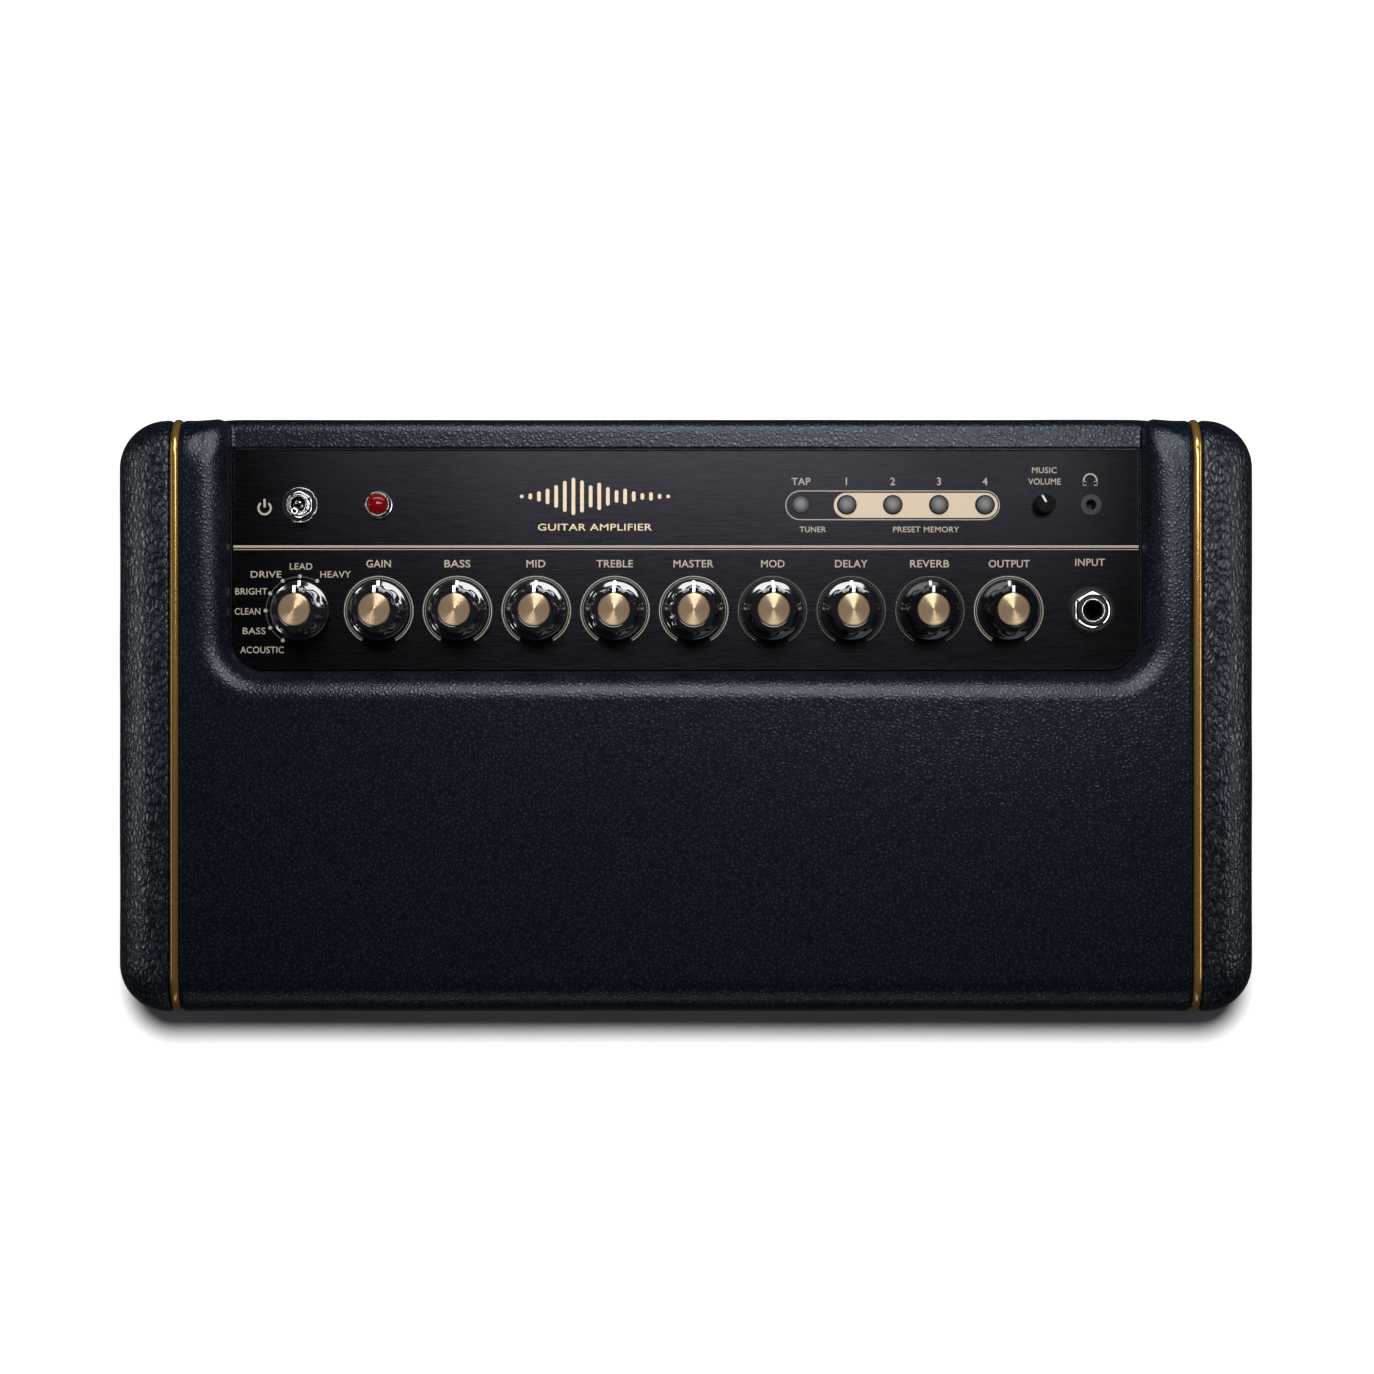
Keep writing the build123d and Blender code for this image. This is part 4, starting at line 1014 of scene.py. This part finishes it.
# ------------------------------------------------------------------ panel print
PRINT_Z = PANEL_Z + 0.015
PRINT_H = 0.045
CAPITAL = 0.729                 # height of a capital at text size 1
BOLD, LIGHT = 0.012, 0.004      # outline growth at text size 1
SCALE_INK = 2                   # material index of RING_INK in the legends
# word, centre x, centre y, length (None: as the font has it), capital height, boldness
LABELS = (
    ("GAIN", -103.448, 51.282, 8.249, 2.559, BOLD),
    ("BASS", -76.933, 51.282, 8.754, 2.559, BOLD),
    ("MID", -50.502, 51.282, 6.397, 2.559, BOLD),
    ("TREBLE", -23.987, 51.282, 12.290, 2.559, BOLD),
    ("MASTER", 2.529, 51.282, 13.468, 2.559, BOLD),
    ("MOD", 29.212, 51.282, 7.912, 2.559, BOLD),
    ("DELAY", 55.643, 51.282, 10.943, 2.559, BOLD),
    ("REVERB", 81.990, 51.282, 13.131, 2.559, BOLD),
    ("OUTPUT", 108.758, 51.282, 13.805, 2.559, BOLD),
    ("INPUT", 135.946, 51.754, 9.933, 2.492, BOLD),
    ("LEAD", -129.542, 50.373, 7.576, 2.290, LIGHT),
    ("DRIVE", -141.327, 47.680, 10.269, 2.290, LIGHT),
    ("HEAVY", -117.926, 47.680, 10.269, 2.290, LIGHT),
    ("BRIGHT", -146.293, 41.956, 10.774, 2.290, LIGHT),
    ("CLEAN", -147.556, 35.222, 8.586, 2.290, LIGHT),
    ("BASS", -145.317, 28.656, 7.677, 2.290, LIGHT),
    ("ACOUSTIC", -142.673, 22.259, 14.646, 2.290, LIGHT),
    ("TAP", 38.724, 78.959, 6.397, 2.492, BOLD),
    ("1", 53.976, 78.959, None, 2.626, BOLD),
    ("2", 69.566, 78.959, None, 2.626, BOLD),
    ("3", 85.121, 78.959, None, 2.626, BOLD),
    ("4", 100.609, 78.959, None, 2.626, BOLD),
    ("TUNER", 42.680, 62.798, 8.923, 1.953, BOLD),
    ("PRESET MEMORY", 80.811, 62.798, 22.222, 1.953, BOLD),
    ("MUSIC", 120.593, 82.730, 8.316, 2.088, BOLD),
    ("VOLUME", 120.626, 78.926, 10.943, 2.155, BOLD),
)
POWER_MARK = (-141.815, 69.902)
PHONES_MARK = (136.030, 79.195)
BUTTON_OUTLINE = (69.532, 70.845)
EMBLEM_X, EMBLEM_Y, EMBLEM_PITCH, EMBLEM_R = -30.636, 73.841, 2.9, 0.62
EMBLEM_HEIGHTS = (1.1, 2.0, 3.4, 5.2, 7.6, 10.4, 12.6, 10.8, 7.4, 9.2, 6.2, 4.2, 5.2, 3.4, 2.2,
                  2.8, 1.7, 1.1)


class Print:
    """Collects thin printed shapes on the panel; outlines run anticlockwise."""

    def __init__(self):
        self.verts, self.faces, self.indices = [], [], []

    def raise_points(self, points):
        """Adds the points at the foot of the print, then at its top."""
        base = len(self.verts)
        for h in (0, PRINT_H):
            self.verts += [(x, y, PRINT_Z + h) for x, y in points]
        return base, base + len(points)

    def close(self, mat):
        self.indices += [mat] * (len(self.faces) - len(self.indices))

    def prism(self, outline, mat=0):
        n = len(outline)
        low, top = self.raise_points(outline)
        self.faces.append(tuple(range(low + n - 1, low - 1, -1)))
        self.faces.append(tuple(range(top, top + n)))
        for i in range(n):
            j = (i + 1) % n
            self.faces.append((low + i, low + j, top + j, top + i))
        self.close(mat)

    def band(self, outer, inner, closed, mat=0):
        """Flat band between two paths of equal length."""
        n = len(outer)
        o0, o1 = self.raise_points(outer + inner)
        i0, i1 = o0 + n, o1 + n
        for i in range(n if closed else n - 1):
            j = (i + 1) % n
            self.faces += [(i1 + i, o1 + i, o1 + j, i1 + j), (i0 + i, i0 + j, o0 + j, o0 + i),
                           (o0 + i, o0 + j, o1 + j, o1 + i), (i0 + j, i0 + i, i1 + i, i1 + j)]
        if not closed:
            e = n - 1
            self.faces += [(i0, o0, o1, i1), (o0 + e, i0 + e, i1 + e, o1 + e)]
        self.close(mat)

    def arc(self, cx, cy, r_in, r_out, start, end, mat=0):
        """Arc band; degrees, 0 is to the rear and positive is clockwise."""
        n = int(abs(end - start) / 3)
        angles = [math.radians(90 - (end + (start - end) * i / n)) for i in range(n + 1)]
        outer, inner = [[(cx + r * math.cos(a), cy + r * math.sin(a)) for a in angles]
                        for r in (r_out, r_in)]
        self.band(outer, inner, False, mat)

    def dots(self, cx, cy, r, count, step, dot_r, mat=SCALE_INK, segments=6):
        """Dots on an arc, from 150 degrees anticlockwise of the rear."""
        turns = [2 * math.pi * k / segments for k in range(segments)]
        for i in range(count):
            a = math.radians(90 - (-150 + step * i))
            x, y = cx + r * math.cos(a), cy + r * math.sin(a)
            self.prism([(x + dot_r * math.cos(t), y + dot_r * math.sin(t)) for t in turns], mat)

    def bar(self, x0, x1, y0, y1, mat=0):
        self.prism([(x0, y0), (x1, y0), (x1, y1), (x0, y1)], mat)

    def pill(self, cx, cy, half_x, half_y, line=None):
        """Round-ended bar, or its outline when a line width is given."""
        def outline(hx, hy):
            out = []
            for side, start in ((1, -90), (-1, 90)):
                for i in range(25):
                    a = math.radians(start + 180 * i / 24)
                    out.append((cx + side * (hx - hy) + hy * math.cos(a), cy + hy * math.sin(a)))
            return out
        if line is None:
            self.prism(outline(half_x, half_y))
        else:
            self.band(outline(half_x, half_y), outline(half_x - line, half_y - line), True)

    def text(self, word, cx, cy, width, cap, bold):
        """Flat lettering centred on (cx, cy)."""
        curve = bpy.data.curves.new("t", "FONT")
        curve.body = word
        curve.size = 1.0
        curve.resolution_u = 4
        curve.space_character = 1.05
        curve.offset = bold
        o = bpy.data.objects.new("t", curve)
        bpy.context.scene.collection.objects.link(o)
        bpy.context.view_layer.update()
        graph = bpy.context.evaluated_depsgraph_get()
        mesh = bpy.data.meshes.new_from_object(o.evaluated_get(graph))
        points = np.array([v.co for v in mesh.vertices], float)
        polys = [tuple(p.vertices) for p in mesh.polygons]
        bpy.data.objects.remove(o)
        bpy.data.curves.remove(curve)
        bpy.data.meshes.remove(mesh)
        left, right = points[:, 0].min(), points[:, 0].max()
        scale = cap / CAPITAL
        scale_x = scale if width is None else width / (right - left)
        middle = (left + right) / 2
        low, top = self.raise_points([(cx + (p[0] - middle) * scale_x,
                                       cy + (p[1] - CAPITAL / 2) * scale) for p in points])
        for p in polys:
            self.faces.append(tuple(top + i for i in p))
            self.faces.append(tuple(low + i for i in reversed(p)))
        edges = dict.fromkeys(e for p in polys for e in zip(p, p[1:] + p[:1]))
        for a, b in edges:
            if (b, a) not in edges:
                self.faces.append((low + a, low + b, top + b, top + a))
        self.close(0)

    def build(self, name, mats):
        mesh_object(name, self.verts, self.faces, mats, self.indices, smooth=False)


def print_marks(legend):
    """Outline round the buttons, the power sign and the headphones."""
    legend.pill(*BUTTON_OUTLINE, 36.1, 5.0, line=0.34)
    cx, cy = POWER_MARK
    legend.arc(cx, cy, 1.72, 2.42, 38, 322)
    legend.bar(cx - 0.38, cx + 0.38, cy + 0.2, cy + 3.1)
    cx, cy = PHONES_MARK
    legend.arc(cx, cy, 1.92, 2.45, -90, 90)
    for side in (-1, 1):
        x = cx + side * 2.18
        legend.bar(x - 0.27, x + 0.27, cy - 1.5, cy)
        legend.pill(cx + side * 1.78, cy - 0.95, 0.5, 0.499)
        x = cx + side * 1.80
        legend.bar(x - 0.46, x + 0.46, cy - 1.75, cy - 0.25)


def build_legends():
    legend = Print()
    # divider: one heavy and one light line
    legend.bar(-152.3, 152.3, 56.602, 57.343)
    legend.bar(-152.3, 152.3, 55.828, 56.097, SCALE_INK)
    for row in LABELS:
        legend.text(*row)
    # scales round the knobs: solid arcs, dotted arcs, and the seven amp types
    for n in ("gain", "bass", "mid", "treble", "master", "output"):
        for r_in, r_out in ((11.34, 11.70), (10.72, 10.88)):
            legend.arc(KNOB_X[n], ROW_Y, r_in, r_out, -150, 150, SCALE_INK)
    for n in ("mod", "delay", "reverb"):
        legend.dots(KNOB_X[n], ROW_Y, 11.5, count=101, step=3.0, dot_r=0.15, segments=8)
        legend.dots(KNOB_X[n], ROW_Y, 10.75, count=61, step=5.0, dot_r=0.09)
    x = KNOB_X["amp_type"]
    legend.dots(x, ROW_Y, 11.4, count=73, step=2.5, dot_r=0.12)
    legend.dots(x, ROW_Y, 11.55, count=7, step=30, dot_r=0.66, mat=0, segments=20)
    print_marks(legend)
    legend.build("panel_legends", [INK, INK_FILL, RING_INK])


def build_strip():
    """Cream pill under the preset buttons: a cell round each hole, round at both ends."""
    strip = Print()
    holes = [BUTTON_X[b] for b in BUTTONS[1:]]
    hole_y, hole_r, count = TOP_ROW_Y, 3.35, 48
    cx, cy, half_x, half_y = (holes[0] + holes[-1]) / 2, 70.828, 27.6, 4.2
    left, right = cx - half_x + half_y, cx + half_x - half_y
    bounds = [left] + [(a + b) / 2 for a, b in zip(holes[:-1], holes[1:])] + [right]
    for x0, x1, hole in zip(bounds, bounds[1:], holes):
        angles = [2 * math.pi * (i + 0.5) / count for i in range(count)]
        angles += [math.atan2(side * half_y + cy - hole_y, e - hole) % (2 * math.pi)
                   for e in (x0, x1) for side in (-1, 1)]
        outer, inner = [], []
        for a in sorted(angles):
            c, s = math.cos(a), math.sin(a)
            inner.append((hole + hole_r * c, hole_y + hole_r * s))
            # the ray from the hole's centre to the edge of its cell
            reach = (cy + math.copysign(half_y, s) - hole_y) / s
            if c > 0 and x1 < right:
                reach = min(reach, (x1 - hole) / c)
            if c < 0 and x0 > left:
                reach = min(reach, (x0 - hole) / c)
            # past a straight side it stops at the round end of the pill
            for end, side in ((left, -1), (right, 1)):
                if (hole + reach * c - end) * side > 0:
                    ex, ey = hole - end, hole_y - cy
                    along = ex * c + ey * s
                    rest = ex * ex + ey * ey - half_y * half_y
                    reach = -along + math.sqrt(along * along - rest)
            outer.append((hole + reach * c, hole_y + reach * s))
        strip.band(outer, inner, True)
    strip.build("preset_strip", [STRIP_INK])


def build_emblem():
    """A plucked-string waveform over a plain descriptive line."""
    emblem = Print()
    r = EMBLEM_R
    for i, height in enumerate(EMBLEM_HEIGHTS):
        x = EMBLEM_X + (i - (len(EMBLEM_HEIGHTS) - 1) / 2) * EMBLEM_PITCH
        outline = []
        for start, side in ((0, 1), (180, -1)):
            y = EMBLEM_Y + side * max(height / 2 - r, 0)
            for k in range(13):
                a = math.radians(start + 180 * k / 12)
                outline.append((x + r * math.cos(a), y + r * math.sin(a)))
        emblem.prism(outline)
    emblem.text("GUITAR AMPLIFIER", EMBLEM_X, 63.572, width=38.384, cap=2.357, bold=0.008)
    emblem.build("panel_emblem", [INK_FILL])


build_legends()
build_strip()
build_emblem()


# ------------------------------------------------------------------ grille cloth
def edge_weighted(count):
    """Stations from -1 to 1, a little closer together at both ends."""
    even = np.linspace(-1, 1, count)
    bunched = np.sin(even * math.pi / 2 * 0.985) / math.sin(math.pi / 2 * 0.985)
    return 0.72 * even + 0.28 * bunched


def build_cloth():
    gap, face_y, corner_r, edge_r = 0.6, -96.45, 4.6, 2.6
    half_x, z0, z1 = GRILLE[0] - gap, GRILLE[1] + gap, GRILLE[2] - gap
    cz, half_z = (z0 + z1) / 2, (z1 - z0) / 2
    nx, nz = 176, 92
    verts = []
    for v in edge_weighted(nz):
        for u in edge_weighted(nx):
            x, z = u * half_x, cz + v * half_z
            # the square corners of the grid are drawn in to round ones
            qx, qz = abs(x) - (half_x - corner_r), abs(z - cz) - (half_z - corner_r)
            if qx > 0 and qz > 0:
                k = max(qx, qz) / math.hypot(qx, qz)
                x = math.copysign(half_x - corner_r + qx * k, x)
                z = cz + math.copysign(half_z - corner_r + qz * k, z - cz)
            edge = max(float(-rounded_rect(x, z, 0, cz, half_x, half_z, corner_r)), 0.0)
            fall = edge_r - math.sqrt(
                max(edge_r ** 2 - (edge_r - min(edge, edge_r)) ** 2, 0.0))
            # two shallow hollows, one in each half
            hollow = 0.0
            for hollow_x in (-75.5, 75.5):
                a = max(0.0, 1 - (abs(x - hollow_x) / 68.0) ** 2)
                b = max(0.0, 1 - ((z - 103.5) / 65.0) ** 2)
                hollow = max(hollow, a * b)
            pull = (0.05 * math.sin(x * 0.42) * math.exp(-abs(abs(z - cz) - half_z) / 7)
                    + 0.05 * math.sin(z * 0.45) * math.exp(-abs(abs(x) - half_x) / 7))
            verts.append((x, face_y + fall * 1.7 + 0.42 * hollow ** 0.8 + pull, z))
    starts = [j * nx + i for j in range(nz - 1) for i in range(nx - 1)]
    faces = [(a, a + 1, a + nx + 1, a + nx) for a in starts]
    o = mesh_object("grille_cloth_stretched", verts, faces, [CLOTH])
    thicken(o, 0.45)
    stand_in(o, "grille_cloth", "grille_cloth")


build_cloth()

# ------------------------------------------------------------------ stage (metres)
scene = bpy.context.scene


def floor_paper():
    """Only the camera sees the paper at its full brightness; other rays meet a grey."""
    g = Graph("floor_paper")
    seen = 2.6
    camera_ray = g.add("ShaderNodeLightPath", "Is Camera Ray")
    plain = g.mix(g.noise(scale=14.0, detail=3.0),
                  low=(0.10, 0.10, 0.102), high=(0.12, 0.12, 0.122))
    far = g.ramp(g.vmath("LENGTH", g.place), over=(0.30, 0.60))
    bright = g.mix(far, low=(seen,) * 3, high=(seen * 3,) * 3)
    diffuse = g.add("ShaderNodeBsdfDiffuse", 0, {
        "Color": g.mix(camera_ray, plain, bright),
        "Normal": g.bump(g.noise(scale=380.0, detail=3.0), strength=0.05, distance=0.0002)})
    # far from the overhead lamp the sweep stays as white as the backdrop
    glow = g.add("ShaderNodeEmission", 0, {"Strength": 1.02})
    away = camera_ray * g.ramp(g.vmath("LENGTH", g.place), over=(0.8, 1.6))
    blend = g.add("ShaderNodeMixShader", 0, {0: away, 1: diffuse, 2: glow})
    g.put(g.tree.nodes["Material Output"].inputs[0], blend)
    return g.mat


def build_floor():
    half = 6.0
    mesh = bpy.data.meshes.new("floor")
    corners = [(-half, -half, 0), (half, -half, 0), (half, half, 0), (-half, half, 0)]
    mesh.from_pydata(corners, [], [(0, 1, 2, 3)])
    mesh.materials.append(floor_paper())
    o = bpy.data.objects.new("floor", mesh)
    scene.collection.objects.link(o)
    return o


FLOOR = build_floor()


# ------------------------------------------------------------------ lights (metres)
def named(names):
    return [bpy.data.objects[n] for n in names]


def light_groups():
    """Collections for light linking: each kind of piece is lit by its own lamps."""
    caps = named(n + "_spun_cap" for n in KNOBS)
    glossy = named(n + "_knob_moulding" for n in KNOBS)
    jack = named(["jack_hex_nut", "jack_inner_ring"])
    bright = named(["toggle_washer", "toggle_nut", "toggle_bushing", "power_toggle_lever"])
    bright += jack + named(["lamp_bezel"])
    flat = named(["control_panel", "panel_legends", "preset_strip", "panel_emblem",
                  "input_jack", "headphone_jack", "indicator_lens"] + BUTTONS)
    fittings = caps + glossy + bright + flat + named(["music_volume_moulding"])
    own = {o.name for o in fittings + [FLOOR]}
    body = [o for o in bpy.data.objects if o.type == "MESH" and o.name not in own]
    not_ends = ("piping_left", "piping_right", "vinyl_wrap_centre")
    groups = {
        "on_jack": jack, "on_caps": caps, "on_gloss": glossy, "on_bright": bright,
        "on_panel": flat, "on_body": body,
        "on_ends": [o for o in body if o.name not in not_ends],
        "on_centre": named(["vinyl_wrap_centre"]),
        "on_piping_left": named(["piping_left"]),
        "on_piping_right": named(["piping_right"]),
        "on_faces": named(["grille_cloth_stretched", "grille_frame", "rear_panel",
                           "connector_plate", "usb_socket", "dc_power_jack", "port_tube",
                           "case_screws", "rubber_feet"]),
        "on_fittings": fittings,
        "on_gloss_main": glossy[:8], "on_gloss_far": glossy[8:], "on_gloss_left": glossy[:6],
        "knob_shades": caps + glossy, "on_ground": body + [FLOOR]}
    out = {}
    for name, objects in groups.items():
        out[name] = bpy.data.collections.new(name)
        for o in objects:
            out[name].objects.link(o)
    return out


GROUPS = light_groups()


def lamp(name, data, at, aim, lit, glossy, shades=None):
    o = bpy.data.objects.new(name, data)
    o.location = at
    o.rotation_euler = (Vector(aim) - Vector(at)).to_track_quat("-Z", "Y").to_euler()
    o.visible_glossy = glossy
    o.visible_camera = False
    scene.collection.objects.link(o)
    o.light_linking.receiver_collection = GROUPS[lit]
    if shades:
        o.light_linking.blocker_collection = GROUPS[shades]


def softbox(name, place, size, radiance, lit, shades=None):
    data = bpy.data.lights.new(name, "AREA")
    data.shape = "RECTANGLE"
    data.size, data.size_y = size
    data.energy = radiance * math.pi * size[0] * size[1]
    lamp(name, data, *place, lit, True, shades)


def around(anchor, azimuth, tilt, distance):
    """Place and aim; azimuth 0 is the rear and 90 the right, tilt is from straight up."""
    a, t = math.radians(azimuth), math.radians(tilt)
    at = (anchor[0] + distance * math.sin(t) * math.sin(a),
          anchor[1] + distance * math.sin(t) * math.cos(a), anchor[2] + distance * math.cos(t))
    return at, anchor


def overhead_bulb(at, irradiance, radius):
    """Small source close to the camera that sets the shadow on the floor."""
    data = bpy.data.lights.new("overhead_ground", "POINT")
    data.shadow_soft_size = radius
    data.energy = irradiance * 4 * math.pi * at[2] ** 2
    lamp("overhead_ground", data, at, (at[0], at[1], 0.0), "on_ground", glossy=False)


def overhead_sun(at, energy, degrees):
    data = bpy.data.lights.new("overhead_fittings", "SUN")
    data.energy = energy
    data.angle = math.radians(degrees)
    lamp("overhead_fittings", data, at, (0.0, 0.0, 0.0), "on_fittings", glossy=False)


AT = (0.0, 0.06, 0.188)
JACK_AT = (INPUT_X * MM, ROW_Y * MM, 0.193)
LEFT, RIGHT = (-0.18, 0.05, 0.20), (0.18, 0.05, 0.20)
LEFT_MID, RIGHT_MID = (-0.18, 0.02, 0.20), (0.18, 0.02, 0.20)
CEILING = ((0.0, 0.0, 2.0), (0, 0, 0))
KNOB_BOX = ((0.025, 0.225, 0.37), AT)
KNOBS_LEFT = (-0.08, 0.035, 0.19)
FACE_AIM = (0, 0, 0.1)
# name, (place, aim), size, radiance, group lit, group that casts shadows
SOFTBOXES = (
    ("body_near", ((0.03, 0.150, 0.45), AT), (0.36, 0.06), 16.0, "on_body"),
    ("body_rear", ((0.03, 0.295, 0.42), AT), (0.36, 0.09), 14.0, "on_body"),
    ("left_high", around(LEFT, -90, 60, 0.2), (0.28, 0.050), 10.0, "on_ends"),
    ("centre_left", around(LEFT_MID, -90, 60, 0.2), (0.28, 0.050), 0.9, "on_centre"),
    ("centre_right", around(RIGHT_MID, 90, 60, 0.2), (0.28, 0.050), 0.9, "on_centre"),
    ("piping_left", around((-0.17, 0.05, 0.20), -90, 62, 0.2), (0.34, 0.040), 2.6,
     "on_piping_left"),
    ("piping_right", around((0.17, 0.05, 0.20), 90, 62, 0.2), (0.34, 0.040), 8.0,
     "on_piping_right"),
    ("left_low", around(LEFT_MID, -90, 92, 0.3), (0.40, 0.07), 0.6, "on_ends"),
    ("right_high", around(RIGHT, 90, 62, 0.2), (0.28, 0.050), 9.0, "on_ends"),
    ("right_low", around(RIGHT_MID, 90, 92, 0.3), (0.40, 0.07), 0.3, "on_ends"),
    ("front_low", around((0.0, -0.09, 0.20), 180, 72, 0.5), (0.6, 0.15), 1.5, "on_body"),
    ("face_front", ((-0.35, -1.0, 0.55), FACE_AIM), (0.9, 0.7), 2.2, "on_faces"),
    ("face_rear", ((0.45, 0.9, 0.70), FACE_AIM), (0.9, 0.7), 1.6, "on_faces"),
    ("ceiling_body", CEILING, (1.6, 1.6), 0.065, "on_body"),
    ("panel_near", ((0.0, 0.128, 0.43), AT), (0.18, 0.06), 2.2, "on_panel"),
    ("panel_wide", ((0.008, 0.128, 0.44), AT), (0.34, 0.06), 3.0, "on_panel"),
    ("panel_rear", ((-0.02, 0.330, 0.31), AT), (0.60, 0.07), 4.0, "on_panel"),
    ("ceiling_panel", CEILING, (1.6, 1.6), 0.02, "on_panel"),
    ("knob_box", KNOB_BOX, (0.25, 0.20), 10.0, "on_gloss_main"),
    ("knob_box_right", KNOB_BOX, (0.25, 0.20), 1.6, "on_gloss_far"),
    ("knob_left", around((-0.10, 0.035, 0.19), -88, 62, 0.6), (0.45, 0.24), 1.2,
     "on_gloss_left", "knob_shades"),
    ("knob_glint_rear", around(KNOBS_LEFT, -50, 60, 0.6), (0.11, 0.24), 12.0,
     "on_gloss_left", "knob_shades"),
    ("knob_glint_front", around(KNOBS_LEFT, -122, 60, 0.6), (0.10, 0.24), 10.0,
     "on_gloss_left", "knob_shades"),
    ("knob_front_right", around((0.0, 0.00, 0.20), 150, 50, 0.5), (0.40, 0.20), 0.6,
     "on_gloss", "knob_shades"),
    ("cap_box", ((0.04, 0.505, 0.69), AT), (0.35, 0.26), 14.0, "on_caps"),
    ("ceiling_caps", CEILING, (2.8, 2.8), 0.42, "on_caps"),
    # a low ring round the chrome draws thin bright lines round each turned edge
    ("bright_rear", around(AT, 0, 75, 0.6), (1.0, 0.17), 5.0, "on_bright", "on_bright"),
    ("bright_left", around(AT, -90, 75, 0.6), (0.9, 0.17), 4.5, "on_bright", "on_bright"),
    ("bright_right", around(AT, 90, 75, 0.6), (0.9, 0.17), 8.0, "on_bright", "on_bright"),
    ("bright_front", around(AT, 180, 75, 0.6), (1.0, 0.17), 7.0, "on_bright", "on_bright"),
    ("jack_right", around(JACK_AT, 95, 58, 0.5), (0.55, 0.26), 9.0, "on_jack", "on_jack"),
    ("jack_front", around(JACK_AT, 195, 58, 0.5), (0.55, 0.26), 7.0, "on_jack", "on_jack"),
    ("jack_rear", around(JACK_AT, -10, 58, 0.5), (0.55, 0.26), 3.0, "on_jack", "on_jack"),
    ("bright_top", ((-0.02, 0.26, 0.40), AT), (0.20, 0.05), 5.0, "on_bright"),
)
overhead_bulb(at=(0.0, 0.077, 1.32), irradiance=1.5, radius=0.034)
overhead_sun(at=(-0.012, 0.15, 1.0), energy=3.1, degrees=12.0)
for row in SOFTBOXES:
    softbox(*row)


# ------------------------------------------------------------------ world and camera
def build_world():
    """White to the camera, nearly black to everything else."""
    world = bpy.data.worlds.new("studio")
    scene.world = world
    world.use_nodes = True
    tree = world.node_tree
    path = tree.nodes.new("ShaderNodeLightPath")
    mix = tree.nodes.new("ShaderNodeMix")
    mix.data_type = "RGBA"
    mix.inputs[6].default_value = (0.010, 0.0105, 0.012, 1.0)
    mix.inputs[7].default_value = (1.02, 1.02, 1.02, 1.0)
    background = tree.nodes["Background"]
    tree.links.new(path.outputs["Is Camera Ray"], mix.inputs[0])
    tree.links.new(mix.outputs[2], background.inputs["Color"])
    background.inputs["Strength"].default_value = 1.0


def build_camera():
    """Looks straight down on the cabinet, with the rear at the top of the picture."""
    data = bpy.data.cameras.new("camera")
    data.lens = 81.2
    data.sensor_width = 36.0
    data.clip_start = 0.01
    data.clip_end = 50.0
    o = bpy.data.objects.new("camera", data)
    o.location = (0.00034, 0.0097, 1.231)
    scene.collection.objects.link(o)
    scene.camera = o


build_world()
scene.view_settings.view_transform = "Standard"
scene.view_settings.look = "None"
build_camera()

bpy.context.view_layer.update()
